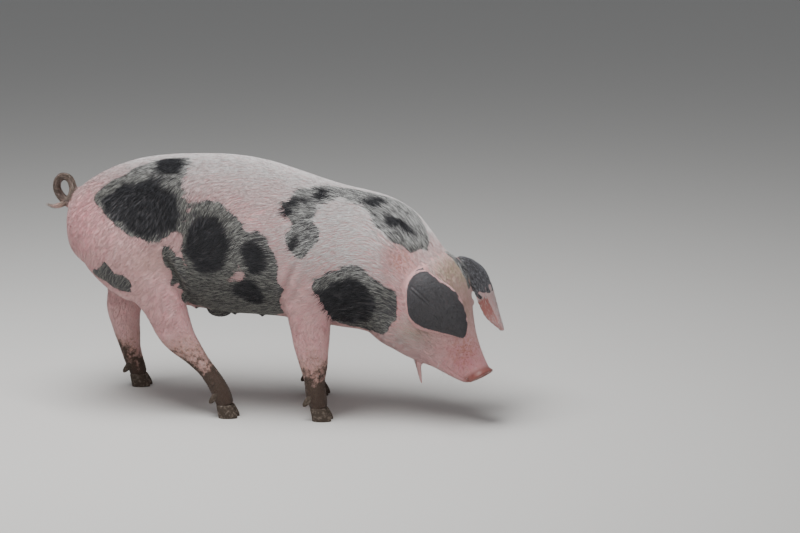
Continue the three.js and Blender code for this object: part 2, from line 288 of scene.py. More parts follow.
def spline(rows, per):
    """Catmull-Rom through rows of numbers: each gap is a cubic blend of the four rows about it,
    sampled at `per` steps, and the end rows are mirrored outward to start and finish it."""
    rows = np.asarray(rows, float)
    run = np.vstack([2 * rows[0] - rows[1], rows, 2 * rows[-1] - rows[-2]])
    t = np.arange(per) / per
    blend = 0.5 * np.stack(
        [-t + 2 * t**2 - t**3, 2 - 5 * t**2 + 3 * t**3, t + 4 * t**2 - 3 * t**3, t**3 - t**2]
    )
    gaps = len(rows) - 1
    four = np.stack([run[k : k + gaps] for k in range(4)])
    return np.vstack([np.einsum("kt,kgc->gtc", blend, four).reshape(-1, rows.shape[1]), rows[-1:]])


def body_rings(per=5, around=120):
    """Superellipse sections: sine and cosine raised to 2/fullness, scaled to the half width and to
    the run from keel to ridge, widest at its own level, each leaning from keel to ridge."""
    kx, kz, rx, rz, half, widest, full, full_low = (c[:, None] for c in spline(BODY, per).T)
    a = np.arange(around) / around * 2 * np.pi
    sin, cos = np.sin(a)[None], np.cos(a)[None]
    n = 2 / np.where(sin > 0, full, full_low)
    up = np.sign(sin) * np.abs(sin) ** n
    out = np.sign(cos) * np.abs(cos) ** n
    h = widest + up * np.where(up > 0, 1 - widest, widest)
    return turned(kx + (rx - kx) * h, half * out, kz + (rz - kz) * h)


def unit(v):
    """Each row divided by its length."""
    return v / np.maximum(np.linalg.norm(v, axis=-1, keepdims=True), 1e-12)


def tube_rings(rows, per=6, around=48):
    """Ellipses square to a smooth path: fore-aft and side axes are the path's own, side kept level."""
    path = spline([tuple(r) + ((r[3],) if len(r) == 4 else ()) for r in rows], per)
    along = unit(np.gradient(path[:, :3], axis=0))
    side = unit(np.array([0, 1, 0]) - along[:, 1:2] * along)
    fore = np.cross(side, along)
    a = (np.arange(around) / around * 2 * np.pi)[None, :, None]
    ring = path[:, None, 3:4] * np.cos(a) * fore[:, None] + path[:, None, 4:5] * np.sin(a) * side[:, None]
    return path[:, None, :3] + ring


def ear_frame(name, per=4):
    """The flap's mid line, the half vector from it to the front edge, and the outward normal."""
    path = spline(EARS[name], per)
    mid = (path[:, :3] + path[:, 3:6]) / 2
    half = (path[:, 3:6] - path[:, :3]) / 2
    along = unit(np.gradient(mid, axis=0))
    normal = unit(np.cross(half, along))
    return path, mid, half, along, normal * np.sign(normal @ np.array(EAR_OUTWARD[name]))[:, None]


def ear_rings(name, across=15):
    """Flap sections: from edge to edge a parabola bows the middle outward, and the thickness falls
    to a round rim as the fourth root of one less t squared."""
    path, mid, half, along, normal = ear_frame(name)
    t = np.cos(np.pi * (np.arange(across) + 0.5) / across)
    t = np.concatenate([t, -t])[None, :, None]
    face = np.repeat([1, -1], across)[None, :, None]
    thick = face * path[:, None, 7:8] / 2 * (1 - t * t) ** 0.25
    bow = path[:, None, 6:7] * (1 - t * t)
    return mid[:, None] + half[:, None] * t + normal[:, None] * (bow + thick)


def egg(centre, radii, around=32):
    """An ellipsoid on a grid of rings, closed at both ends."""
    v = (np.arange(around // 2) + 0.5) / (around // 2) * np.pi
    u = np.arange(around) / around * 2 * np.pi
    ring = np.stack(
        [np.cos(v)[:, None] + 0 * u, np.sin(v)[:, None] * np.cos(u), np.sin(v)[:, None] * np.sin(u)], -1
    )
    return np.array(centre) + ring * np.array(radii)


def shell(rings):
    """Points and faces of a closed shell: quads between neighbouring rings and a lid at each end."""
    rows, around = rings.shape[:2]
    at = np.arange(rows * around).reshape(rows, around)
    a, b = at[:-1], at[1:]
    quads = np.stack([a, b, np.roll(b, -1, 1), np.roll(a, -1, 1)], -1).reshape(-1, 4)
    return rings.reshape(-1, 3), quads.tolist() + [at[0].tolist(), at[-1][::-1].tolist()]


def mesh_of(name, points, faces):
    """A mesh from points and faces, with its faces turned outward."""
    mesh = bpy.data.meshes.new(name)
    mesh.from_pydata(np.asarray(points).tolist(), [], faces)
    mesh.update()
    shape = bmesh.new()
    shape.from_mesh(mesh)
    bmesh.ops.recalc_face_normals(shape, faces=shape.faces)
    shape.to_mesh(mesh)
    shape.free()
    return mesh


lofts = [body_rings(), egg((-112, 0, 219), (36, 18, 22)), tube_rings(TAIL), tube_rings(TASSEL)]
lofts += [tube_rings(rows) for rows in LEGS.values()] + [ear_rings(name) for name in EARS]
points, faces = [], []
for rings in lofts:
    shell_points, shell_faces = shell(rings)
    start = sum(len(p) for p in points)
    points.append(placed(shell_points))
    faces += [[i + start for i in face] for face in shell_faces]
rough = object_of("rough", mesh_of("rough", np.vstack(points), faces))


def read(items, field, wide=3, kind=float):
    """One field of all items of a mesh, a row of `wide` numbers to each."""
    out = np.empty(len(items) * wide, kind)
    items.foreach_get(field, out)
    return out.reshape(-1, wide)


def points_of(mesh):
    """The places of a mesh's points, as rows."""
    return read(mesh.vertices, "co")


def as_shown(thing):
    """A new mesh of an object with its modifiers applied."""
    bpy.context.view_layer.update()
    return bpy.data.meshes.new_from_object(thing.evaluated_get(bpy.context.evaluated_depsgraph_get()))


def put_points(mesh, p):
    """Moves a mesh's points to new places."""
    mesh.vertices.foreach_set("co", np.ascontiguousarray(p).ravel())
    mesh.update()


# The lofts are fused into one closed flesh of even faces, which the next section models. It is fused
# while the head and ears are swollen to twice their size, so their faces come out half as large.
GRAIN = 0.0036  # side of a face on the body, metres
FINE_MIDDLE = placed((495, -50, 272))
FINE_REACH = 0.15


def swollen(p):
    """Doubles distances from FINE_MIDDLE out to FINE_REACH and adds FINE_REACH to those beyond."""
    q = p - FINE_MIDDLE
    r = np.maximum(np.linalg.norm(q, axis=1, keepdims=True), 1e-9)
    return FINE_MIDDLE + q * np.where(r < FINE_REACH, 2, 1 + FINE_REACH / r)


def unswollen(p):
    """The inverse of `swollen`."""
    q = p - FINE_MIDDLE
    r = np.maximum(np.linalg.norm(q, axis=1, keepdims=True), 1e-9)
    return FINE_MIDDLE + q * np.where(r < 2 * FINE_REACH, 0.5, 1 - FINE_REACH / r)


put_points(rough.data, swollen(points_of(rough.data)))
fuse = rough.modifiers.new("fuse", "REMESH")
fuse.mode = "VOXEL"
fuse.voxel_size = GRAIN
flesh = as_shown(rough)
bpy.data.objects.remove(rough)
put_points(flesh, unswollen(points_of(flesh)))

# ---------------------------------------------------------------------------------------------------
# Modelling the skin. The fused flesh is smoothed where legs and ears join it, drawn in by the depth of
# the coat, then pushed out over muscle, fat and bone and pressed in along its folds and creases.
COAT_DEPTH = 3.2  # mm from the bare skin to the outline of the coat
SOFT_JOIN = 22.0  # hollows tighter than this many to the metre are smoothed over

# Where flesh swells, or sinks below zero: x, side, z, reach along each, height, and which side of the
# body (1 right, -1 left, 0 both).
SWELLS = [
    (-380, 135, 440, 90, 70, 110, 7, 0),  # ham
    (-270, 160, 345, 40, 40, 50, 5, 1),  # right stifle
    (-345, 160, 330, 45, 40, 60, 4, -1),  # left stifle
    (-200, 155, 420, 38, 40, 60, -7, 1),  # hollow of the right flank
    (-250, 155, 410, 38, 40, 60, -6, -1),  # hollow of the left flank
    (150, 150, 450, 60, 50, 80, 4, 0),  # shoulder blade
    (120, 155, 320, 50, 40, 50, 6, 1),  # triceps
    (90, 155, 320, 50, 40, 50, 5, -1),
    (98, 150, 262, 22, 28, 26, 6, 1),  # point of the elbow
    (62, 150, 262, 22, 28, 26, 5, -1),
    (62, 170, 390, 32, 50, 90, -4, 0),  # hollow behind the shoulder
    (-196, 158, 228, 17, 20, 20, 5, 1),  # bony knobs of the right hock
    (-168, 155, 200, 16, 20, 18, 3.5, 1),
    (-206, 145, 178, 14, 30, 16, 4, 1),  # its point, behind
    (-425, 128, 205, 14, 30, 22, 5, -1),  # point of the left hock
    (-385, 155, 190, 16, 20, 18, 3, -1),
    (178, 121, 118, 20, 26, 26, 4, 1),  # right fore knee
    (124, 121, 118, 20, 26, 26, 4, -1),  # left fore knee
    (150, 146, 100, 14, 16, 18, 2.5, 1),
    (385, 120, 215, 42, 40, 45, 7, 0),  # jowl
    (440, 105, 235, 40, 40, 50, 5, 0),  # cheek
    (505, 70, 165, 22, 24, 26, -4, 0),  # hollow between cheek and snout
    (505, 52, 292, 14, 18, 15, 4, 0),  # brow
    (490, 0, 395, 30, 40, 25, 4, 0),  # poll
    (545, 0, 262, 22, 26, 26, -3.5, 0),  # dish of the face
    (530, 34, 110, 26, 16, 20, 3, 0),  # root of the tusk under the lip
    (400, 60, 140, 40, 50, 30, 3, 0),  # fat under the throat
    (-486, 0, 425, 12, 12, 14, 6, 0),  # below the tail
]

# Folds and creases: width, depth, side (1 right, -1 left, 0 both) and the run as x, side, z.
FOLDS = [
    (11, 12, 1, [(-222, 153, 402), (-207, 153, 369), (-197, 149, 344), (-184, 142, 317),
                 (-166, 118, 278), (-154, 78, 244)]),
    (10, 8, -1, [(-265, 154, 392), (-258, 153, 360), (-255, 145, 325), (-250, 120, 285), (-245, 80, 252)]),
    (8, 5, 1, [(126, 161, 392), (111, 163, 358), (93, 158, 319), (77, 141, 282), (66, 107, 244)]),
    (6, 4, -1, [(92, 161, 398), (76, 163, 363), (60, 158, 321), (48, 141, 282), (40, 107, 244)]),
    (5, 5, 0, [(196, 118, 236), (225, 97, 217), (262, 84, 206), (300, 100, 208)]),
    (5, 4, 0, [(205, 106, 221), (232, 84, 207), (268, 70, 199), (305, 84, 198)]),
    (9, 3.5, 0, [(318, 116, 190), (345, 122, 215), (364, 126, 248), (372, 127, 284)]),
    (5, 2.5, 0, [(300, 60, 182), (316, 92, 190), (330, 112, 215)]),
    (3.2, 3.2, 0, [(586, 26, 84), (568, 33, 90), (548, 37, 99), (526, 42, 112), (505, 52, 126),
                   (488, 62, 142)]),
    (3.4, 1.6, 0, [(572, 26, 144), (560, 34, 141), (547, 38, 127), (543, 38, 117)]),
    (2.8, 1.1, 0, [(564, 24, 163), (549, 34, 157), (540, 40, 142)]),
    (3.8, 1.3, 0, [(552, 30, 189), (535, 41, 174), (527, 44, 152), (529, 42, 138)]),
    (4, 2, 0, [(478, 78, 262), (486, 82, 246), (500, 78, 236)]),
    (4, 2, 0, [(492, 60, 306), (478, 70, 296), (468, 78, 276)]),
    (7, 3.5, 1, [(-345, 150, 300), (-318, 160, 292), (-292, 158, 300)]),
    (7, 1.5, 1, [(-152, 158, 170), (-140, 152, 150), (-134, 140, 134)]),
    (9, 6, 0, [(-470, 14, 430), (-462, 18, 400), (-440, 20, 370), (-410, 18, 340)]),
]

# Teats: x and side of each pair, on the keel of the belly, below this level.
TEATS = [(-215, 42), (-160, 48), (-60, 50), (10, 50), (80, 48), (140, 42)]
TEAT_LEVEL = 262
TEAT_LONG, TEAT_REACH = 7, 5


def smoothstep(low, high, v):
    """0 below `low`, 1 above `high`, and three squares less two cubes between them."""
    t = np.clip((v - low) / (high - low), 0, 1)
    return t * t * (3 - 2 * t)


def relax(values, edges, weight, rounds):
    """Each point's values move by its weight towards the mean of its neighbours', round after round."""
    a, b = edges.T
    n = len(values)
    count = np.bincount(edges.ravel(), minlength=n)
    for _ in range(rounds):
        near = [np.bincount(a, v[b], n) + np.bincount(b, v[a], n) for v in values.T]
        values = values + weight[:, None] * (np.stack(near, -1) / count[:, None] - values)
    return values


def normals_at(mesh, p):
    """The outward normals once the points stand at p."""
    put_points(mesh, p)
    return read(mesh.vertex_normals, "vector")


def run_distance(p, run):
    """Least distance from each point to a line through a few places, and how far along it that is."""
    run = np.asarray(run, float)
    best = np.full(len(p), 1e9)
    share = np.zeros(len(p))
    for i, (a, b) in enumerate(zip(run[:-1], run[1:])):
        d = b - a
        t = np.clip((p - a) @ d / (d @ d), 0, 1)
        gap = np.linalg.norm(p - a - t[:, None] * d, axis=1)
        share = np.where(gap < best, (i + t) / (len(run) - 1), share)
        best = np.minimum(best, gap)
    return best, share


def sided(straight, side):
    """Straight places with side turned positive, and which of them lie on the side meant."""
    flat = straight * np.array([1, -np.sign(side) if side else 1, 1])
    if side == 0:
        flat = np.stack([straight[:, 0], np.abs(straight[:, 1]), straight[:, 2]], -1)
    return flat, flat[:, 1] > -8


def nearest(tree, p):
    """The nearest spot of a surface to each point, the face it lies on, and how far off it is."""
    found = [tree.find_nearest(q) for q in p.tolist()]
    spot = np.array([f[0] for f in found]).reshape(-1, 3)
    return spot, np.array([f[2] for f in found], int), np.array([f[3] for f in found], float)


EAR_MARGIN = 16  # only places this near an ear's box are looked up
FAR_OFF = 99.0  # the distance given to all others


def ear_place(p, name):
    """For each point near an ear: its distance to the flap beyond half its thickness, the share from
    root to tip, the share from rear to front edge (-1 to 1), and +1 outside or -1 inside the flap."""
    path, mid, half, _, normal = ear_frame(name, 8)
    t = np.linspace(-1, 1, 25)[:, None]
    sheet = mid[:, None] + half[:, None] * t + normal[:, None] * (path[:, None, 6:7] * (1 - t * t))
    at = np.arange(sheet[..., 0].size).reshape(sheet.shape[:2])
    quads = np.stack([at[:-1, :-1], at[:-1, 1:], at[1:, 1:], at[1:, :-1]], -1).reshape(-1, 4)
    flat = sheet.reshape(-1, 3)
    gap = np.full(len(p), FAR_OFF)
    down, across, face = np.zeros((3, len(p)))
    close = np.where(((p > flat.min(0) - EAR_MARGIN) & (p < flat.max(0) + EAR_MARGIN)).all(1))[0]
    spot, quad, apart = nearest(BVHTree.FromPolygons(flat.tolist(), quads.tolist()), p[close])
    row = quad // (len(t) - 1)
    gap[close] = apart - path[row, 7] / 2
    step = mid[row + 1] - mid[row]
    from_mid = spot - mid[row]
    down[close] = (row + np.clip((from_mid * step).sum(1) / (step**2).sum(1), 0, 1)) / (len(path) - 1)
    across[close] = np.clip((from_mid * half[row]).sum(1) / (half[row] ** 2).sum(1), -1, 1)
    face[close] = np.sign(((p[close] - spot) * normal[row]).sum(1))
    return gap, down, across, face


def ear_gap(p):
    """The distance from each point to the nearer ear."""
    return np.minimum(*(ear_place(p, name)[0] for name in EARS))


trunk_points, trunk_faces = shell(body_rings())
trunk_tree = BVHTree.FromPolygons(trunk_points.tolist(), trunk_faces)
edges = read(flesh.edges, "vertices", 2, int)
FIRST_ROUNDS, JOIN_ROUNDS = ((6, 25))
p = relax(points_of(flesh), edges, np.full(len(flesh.vertices), 0.5), FIRST_ROUNDS)

# The flaps of the ears are laid on their own smooth surfaces again, as far as they stand off the head.
own = own_place(p)
near_ear = ear_gap(own) < 12
stand = np.zeros(len(p))
stand[near_ear] = nearest(trunk_tree, own[near_ear])[2]
flap = near_ear * smoothstep(3, 12, stand)
for name in EARS:
    ear_points, ear_faces = shell(ear_rings(name, 31))
    close = np.where((flap > 0) & (ear_place(own, name)[0] < 8))[0]
    spot, _, apart = nearest(BVHTree.FromPolygons(ear_points.tolist(), ear_faces), own[close])
    hold = flap[close] * (1 - smoothstep(3, 7, apart))
    p[close] += (placed(spot) - p[close]) * hold[:, None]
p = relax(p, edges, 0.25 * flap, 2)

# Where legs, ears and tail meet the body, hollows tighter than SOFT_JOIN are eased into soft valleys.
long = np.linalg.norm(p[edges[:, 0]] - p[edges[:, 1]], axis=1)
grain = np.bincount(edges[:, 0], long, len(p)) + np.bincount(edges[:, 1], long, len(p))
grain /= np.bincount(edges.ravel(), minlength=len(p))
for _ in range(2):
    lean = relax(p, edges, np.ones(len(p)), 1) - p
    hollow = (lean * normals_at(flesh, p)).sum(1) * 4 / grain**2
    hollow = relax(hollow[:, None], edges, np.full(len(p), 0.6), 12)[:, 0]
    join = smoothstep(0, 2 * SOFT_JOIN, hollow) * (1 - flap)
    p = relax(p, edges, join, JOIN_ROUNDS)

DISC_MID = np.array([586, 0, 99.5])  # middle of the snout's end
DISC_OUT = np.array([0.544, 0, -0.839])  # the way it faces
DISC_UP = np.array([0.839, 0, 0.544])
DISC_HALF_HIGH, DISC_HALF_WIDE = 26, 34
NOSTRIL_SIDE = 13
NOSTRIL_HALF_HIGH, NOSTRIL_HALF_WIDE = 6.8, 6.2


def disc_place(straight):
    """How far each point lies on the snout's flat end (0 to 1), its share out to the rim, and its
    share out to the rim of the nearer nostril."""
    from_disc = straight - DISC_MID
    high, up, side = from_disc @ DISC_OUT, from_disc @ DISC_UP, np.abs(straight[:, 1])
    reach = np.hypot(up / DISC_HALF_HIGH, side / DISC_HALF_WIDE)
    on_disc = smoothstep(-14, -3, high) * (1 - smoothstep(1.1, 1.3, reach))
    nostril = np.hypot((side - NOSTRIL_SIDE) / NOSTRIL_HALF_WIDE, (up - 1) / NOSTRIL_HALF_HIGH)
    return on_disc, reach, nostril


# The coat is thinner over the ears, tail, tassel, snout and lower legs, so the skin is drawn in less.
own = own_place(p)
straight = straightened(own)
on_tail = 1 - smoothstep(14, 20, run_distance(own, TAIL_LINE)[0])
on_tassel = 1 - smoothstep(6, 14, run_distance(own, [row[:3] for row in TASSEL[1:]])[0])
on_disc, disc_reach, nostril = disc_place(straight)
depth = COAT_DEPTH * (1 - 0.75 * flap) * (1 - 0.6 * on_tail) * (1 - 0.9 * on_tassel) * (1 - 0.7 * on_disc)
depth *= 0.45 + 0.55 * smoothstep(20, 120, own[:, 2])
lift = -depth
for x, side, z, rx, rs, rz, height, which in SWELLS:
    flat, meant = sided(straight, which)
    away = ((flat - (x, side, z)) / (rx, rs, rz)) ** 2
    lift += height * np.exp(-away.sum(1)) * meant * (1 - flap)
for width, deep, which, run in FOLDS:
    flat, meant = sided(straight, which)
    gap, share = run_distance(flat, spline(run, 4))
    fade = smoothstep(0, 0.35, share) * (1 - smoothstep(0.6, 1, share))
    press = deep * np.exp(-((gap / width) ** 2)) - 0.3 * deep * np.exp(-(((gap - 2.1 * width) / width) ** 2))
    lift -= press * fade * meant * (1 - flap)
for x, side in TEATS:
    away = np.hypot(straight[:, 0] - x, np.abs(straight[:, 1]) - side)
    lift += TEAT_LONG * np.exp(-((away / TEAT_REACH) ** 2)) * (straight[:, 2] < TEAT_LEVEL)
EAR_VEIN = [(401, -148, 326), (425, -161, 310), (448, -165, 290), (468, -163, 268)]
vein_gap, vein_share = run_distance(own, spline(EAR_VEIN, 4))
vein = 1.6 * np.exp(-((vein_gap / 2.2) ** 2)) - 1.1 * np.exp(-(((vein_gap - 4.5) / 3) ** 2))
lift += vein * (1 - smoothstep(0.5, 1, vein_share)) * (ear_place(own, "ear_right")[3] > 0)
NOSTRIL_DEEP, NOSTRIL_LIP, DISC_RIM = 9.5, 1.2, 1.8
hole = NOSTRIL_DEEP * (1 - smoothstep(0.55, 1.15, nostril))
lip = NOSTRIL_LIP * np.exp(-(((nostril - 1.45) / 0.3) ** 2))
lift -= (hole - lip) * on_disc
rim = DISC_RIM * np.exp(-(((disc_reach - 0.93) / 0.16) ** 2))
lift += on_disc * (rim - np.exp(-((straight[:, 1] / 2.2) ** 2)))
p = p + normals_at(flesh, p) * (lift / 1000)[:, None]

# Eyelids: round each eye the skin is drawn over the ball to an almond opening, and inside the opening
# it dips behind the ball's front.
HEAD_DOWN = np.array([0.42, 0, -0.91])  # from poll to nose, in the straight middle plane
HEAD_FRONT = np.array([0.91, 0, 0.42])
EYE_LONG, EYE_HIGH = 11.0, 5.0  # half length and half height of the opening
LID_TURN, LID_REACH = math.radians(72), 15  # the lids bend this far round the ball, this far out
EYE_SEAT = np.array(EYE_AT) - (0, EYE_SINK, 0)
own = own_place(p)
straight = straightened(own)
clear_of_ear = smoothstep(1, 3, ear_gap(own))
eye_fade = np.zeros(len(p))
for side in (-1, 1):
    q = straight * (1, side, 1) - EYE_SEAT
    a, b, c = q @ HEAD_DOWN, q @ HEAD_FRONT, q[:, 1]
    reach = np.hypot(a, b)
    tilt = np.minimum(reach / LID_REACH, 1) * LID_TURN
    over = np.sin(tilt) / np.maximum(reach, 1e-6)
    aim = a[:, None] * over[:, None] * HEAD_DOWN + b[:, None] * over[:, None] * HEAD_FRONT
    aim[:, 1] += np.cos(tilt)
    opening = EYE_HIGH * (1 - (EYE_RADIUS * over * a / EYE_LONG) ** 2) - np.abs(EYE_RADIUS * over * b - 0.8)
    rim = 0.8 * np.exp(-(((opening + 1.6) / 1.4) ** 2))
    radius = EYE_RADIUS + 0.7 + rim - 5 * smoothstep(-0.8, 0.8, opening)
    fade = (1 - smoothstep(11, 20, reach)) * (c > -8) * clear_of_ear
    target = EYE_SEAT + aim * radius[:, None]
    moved = straight * (1, side, 1) * (1 - fade[:, None]) + target * fade[:, None]
    straight = np.where(fade[:, None] > 0, moved * (1, side, 1), straight)
    eye_fade = np.maximum(eye_fade, fade)
own = turned(*straight.T)
p = np.where(eye_fade[:, None] > 0, placed(own), p)
normals_at(flesh, p)

# The trunk and legs need fewer faces than the head, so they are thinned.
SKIN_FACES = 186000
skin = object_of("skin", flesh)
keep = skin.vertex_groups.new(name="thin")
spare = (np.linalg.norm(p - FINE_MIDDLE, axis=1) > FINE_REACH) & (straight[:, 0] < 570) & (on_tail < 0.1)
keep.add(np.where(spare)[0].tolist(), 1.0, "REPLACE")
thin = skin.modifiers.new("thin", "DECIMATE")
thin.ratio = SKIN_FACES / (2 * len(flesh.polygons))
thin.vertex_group = "thin"
thin.use_collapse_triangulate = True
fine = as_shown(skin)
skin.modifiers.clear()
skin.data = fine
skin.vertex_groups.clear()
SKIN_NODES = [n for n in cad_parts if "claw" not in n and not n.startswith("eye")]
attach(skin, "root")
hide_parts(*SKIN_NODES)

# ---------------------------------------------------------------------------------------------------
# Markings. Patches of black skin lie under white hair, each with a smaller core of black hair. They are
# drawn on a chart of the body: straight x along, and girth round it from the right flank over the spine.
CHART_LEVEL = ([-480, -300, 0, 200, 300, 400, 450], [430, 432, 412, 370, 345, 310, 290])
GIRTH = 3  # chart millimetres per degree round the body
DARK_SKIN_AND_SHADE = [
    [(-395, 105), (-385, 140), (-350, 162), (-312, 192), (-270, 222), (-230, 240), (-170, 240),
     (-165, 190), (-168, 150), (-160, 112), (-165, 75), (-172, 30), (-205, 4), (-245, -6), (-282, -4),
     (-325, 20), (-365, 62)],
    [(-165, -35), (-166, 5), (-156, 45), (-140, 92), (-110, 112), (-70, 106), (-35, 87), (-13, 60),
     (-4, 28), (-10, 0), (-18, -38), (-42, -85), (-80, -125), (-115, -118), (-138, -80), (-152, -56)],
    [(-25, 20), (10, 40), (35, 55), (55, 25), (70, -15), (75, -60), (50, -85), (10, -90), (-10, -60),
     (-15, -35)],
    # Black skin, and under the belly painted shade: this outline reaches round past the belly's middle over
    # the sheath.
    [(-228, -32), (-212, -20), (-195, -24), (-172, -48), (-150, -74), (-125, -96), (-95, -92),
     (-60, -82), (-20, -82), (40, -70), (75, -72), (82, -130), (62, -190), (20, -250), (-60, -300),
     (-120, -305), (-180, -260), (-222, -150), (-235, -90)],
    [(85, 148), (120, 188), (178, 248), (212, 212), (170, 160), (155, 110), (180, 88), (160, 40),
     (135, 10), (110, 18), (92, 55), (112, 90), (82, 115)],
    [(192, 240), (230, 264), (282, 262), (304, 226), (268, 202), (222, 206)],
    [(272, 230), (335, 296), (400, 300), (442, 240), (415, 170), (360, 152), (305, 160)],
    [(155, -70), (175, -30), (220, 0), (255, 27), (290, 16), (340, 2), (385, -5), (407, -50),
     (385, -112), (335, -155), (255, -200), (190, -150), (158, -115)],
    [(-392, -94), (-374, -74), (-355, -66), (-338, -72), (-318, -84), (-303, -92), (-294, -110),
     (-297, -134), (-312, -140), (-334, -128), (-354, -112), (-380, -118), (-396, -114)],
    [(-330, 330), (-240, 310), (-180, 360), (-190, 440), (-250, 480), (-330, 460), (-370, 390)],
    [(-60, 470), (40, 450), (110, 500), (120, 600), (40, 650), (-60, 620), (-100, 540)],
    [(190, 430), (240, 420), (260, 470), (220, 510), (180, 480)],
    [(300, 480), (360, 460), (400, 520), (370, 580), (310, 560)],
    [(-200, 640), (-120, 620), (-80, 690), (-140, 730), (-210, 700)],
]
PINK_BREAKS = [
    [(-18, -22), (-24, -40), (-27, -56), (-33, -72), (-39, -84), (-46, -94), (-53, -106), (-62, -113),
     (-68, -104), (-60, -94), (-50, -87), (-43, -75), (-37, -58), (-31, -42), (-25, -24)],
]
BLACK_HAIR = [
    [(-365, 105), (-335, 135), (-300, 155), (-255, 165), (-210, 165), (-185, 130), (-175, 80),
     (-185, 40), (-225, 15), (-265, 15), (-305, 35), (-345, 70)],
    [(-238, 195), (-225, 238), (-172, 236), (-170, 190), (-190, 172), (-220, 180)],
    [(-146, 40), (-126, 76), (-98, 83), (-60, 72), (-44, 46), (-38, 5), (-43, -28), (-63, -60),
     (-98, -78), (-122, -66), (-142, -32), (-152, 5)],
    [(0, 5), (25, 30), (50, 20), (60, -5), (50, -45), (25, -60), (5, -40)],
    [(-20, -90), (10, -80), (35, -90), (45, -125), (20, -140), (-15, -135), (-30, -110)],
    [(95, 130), (115, 160), (130, 155), (120, 120), (105, 100), (90, 110)],
    [(155, 170), (170, 200), (195, 225), (195, 195), (170, 165)],
    [(110, 45), (125, 75), (140, 70), (130, 40), (115, 25)],
    [(282, 212), (308, 238), (334, 247), (346, 236), (322, 206)],
    [(352, 196), (376, 212), (402, 236), (418, 222), (402, 198), (372, 184)],
    [(165, -75), (195, -55), (240, -20), (285, -15), (325, -40), (345, -70), (320, -120), (240, -170),
     (190, -135), (175, -105)],
    [(-305, 345), (-245, 330), (-205, 370), (-210, 430), (-255, 460), (-315, 440), (-340, 390)],
    [(-30, 490), (40, 475), (85, 515), (90, 590), (35, 620), (-40, 600), (-65, 540)],
    [(325, 495), (355, 485), (375, 520), (355, 555), (325, 545)],
]
# Rosy, bare, white-haired, tan and freckled parts: x, |side|, z, reach along each, strength. The white hair
# is partly painted sheen along the back and crest, and the tan is painted shade under the belly.
ROSY = [
    (-420, 120, 440, 90, 60, 100, 0.5), (-380, 120, 250, 50, 50, 60, 0.5),
    (-210, 125, 230, 60, 40, 70, 0.6), (-30, 160, 450, 80, 60, 70, 0.3),
    (140, 120, 200, 60, 40, 90, 0.5), (390, 120, 270, 40, 60, 50, 0.6), (560, 30, 130, 50, 60, 50, 0.7),
    (-490, 0, 430, 30, 40, 60, 0.6),
]
BARE = [
    (387, 122, 262, 26, 45, 42, 1), (412, 100, 384, 52, 44, 34, 1), (560, 30, 125, 44, 60, 60, 1),
    (530, 44, 170, 30, 26, 40, 0.7), (-410, 110, 400, 80, 60, 110, 0.7),
    (-300, 140, 320, 90, 60, 80, 0.6), (150, 120, 240, 60, 45, 70, 0.6),
    (-60, 110, 225, 260, 90, 30, 0.6), (-480, 0, 430, 40, 50, 60, 0.8),
]
WHITE_HAIR_AND_SHEEN = [
    (-240, 0, 620, 240, 140, 70, 1), (60, 0, 610, 220, 160, 110, 1), (260, 40, 540, 130, 140, 130, 1),
    (400, 40, 450, 70, 100, 100, 1), (330, 130, 400, 90, 60, 90, 0.8),
    (180, 150, 430, 110, 60, 90, 0.8), (20, 165, 440, 80, 50, 70, 0.35),
    (420, 110, 195, 70, 60, 50, 0.75), (500, 30, 352, 36, 60, 46, 0.8),
]
TANNED_AND_SHADED = [
    # The tan row along the belly's underside, at z 190, is painted shade.
    (510, 20, 345, 34, 60, 55, 1), (545, 0, 262, 24, 34, 44, 0.8), (0, 0, 190, 260, 110, 40, 0.5),
    (455, 105, 205, 50, 50, 34, 0.6), (-250, 150, 370, 60, 40, 34, 0.35),
    (-150, 150, 320, 26, 40, 34, 0.5),
]
FRECKLED = [(408, 105, 384, 50, 44, 36, 1), (387, 122, 262, 26, 40, 42, 0.9), (552, 30, 165, 38, 40, 44, 1)]

# Painted shade: a dark band of black skin in the crease between the forehead and the root of the left ear,
# where the ear shades the head.
EAR_CREASE_SHADE = [(484, -26, 384), (502, -22, 363), (517, -22, 338), (529, -24, 310)]


def signed(u, v, outline):
    """Distance in the chart to a smoothed closed outline, positive inside: the least distance to its
    short straight pieces, with the sign from how often a level line to the right crosses them."""
    rows = outline[-2:] + outline + outline[:2]
    loop = spline(rows, 4)[8 : 4 * (len(outline) + 2)]
    out = np.full(len(u), -60.0)
    low, high = loop.min(0) - 45, loop.max(0) + 45
    close = np.where((u > low[0]) & (u < high[0]) & (v > low[1]) & (v < high[1]))[0]
    q = np.stack([u[close], v[close]], -1)
    a, b = loop, np.roll(loop, -1, 0)
    d = b - a
    gap = np.full(len(q), 1e9)
    crossed = np.zeros(len(q), int)
    for start, step in zip(a, d):
        t = np.clip((q - start) @ step / (step @ step), 0, 1)
        gap = np.minimum(gap, np.linalg.norm(q - start - t[:, None] * step, axis=1))
        spans = (start[1] > q[:, 1]) != (start[1] + step[1] > q[:, 1])
        at = start[0] + (q[:, 1] - start[1]) / (step[1] if step[1] else 1e-9) * step[0]
        crossed += spans & (q[:, 0] < at)
    out[close] = np.where(crossed % 2 == 1, gap, -gap)
    return out


def ripple(p, size, seed):
    """Smooth noise about 0: the mean of eight plane sine waves of one length in random directions."""
    rng = np.random.default_rng(seed)
    way = unit(rng.normal(size=(8, 3)))
    return np.sin(p @ way.T * (2 * np.pi / size) + rng.uniform(0, 2 * np.pi, 8)).sum(1) / 2.8


# On the limbs the trunk's marks end: heights below which skin is upper arm, shank and lower leg, and the
# place behind which a thigh may be dark again. Dried mud reaches these heights, fading over MUD_EDGE.
ARM_TOP, SHANK_TOP, LEG_TOP, THIGH_REAR = 345, 290, 196, -288
MUD_TOP = {"fore": (124, 104), "hind": (150, 96)}  # right, left
MUD_EDGE = 38
NO_MUD = -8


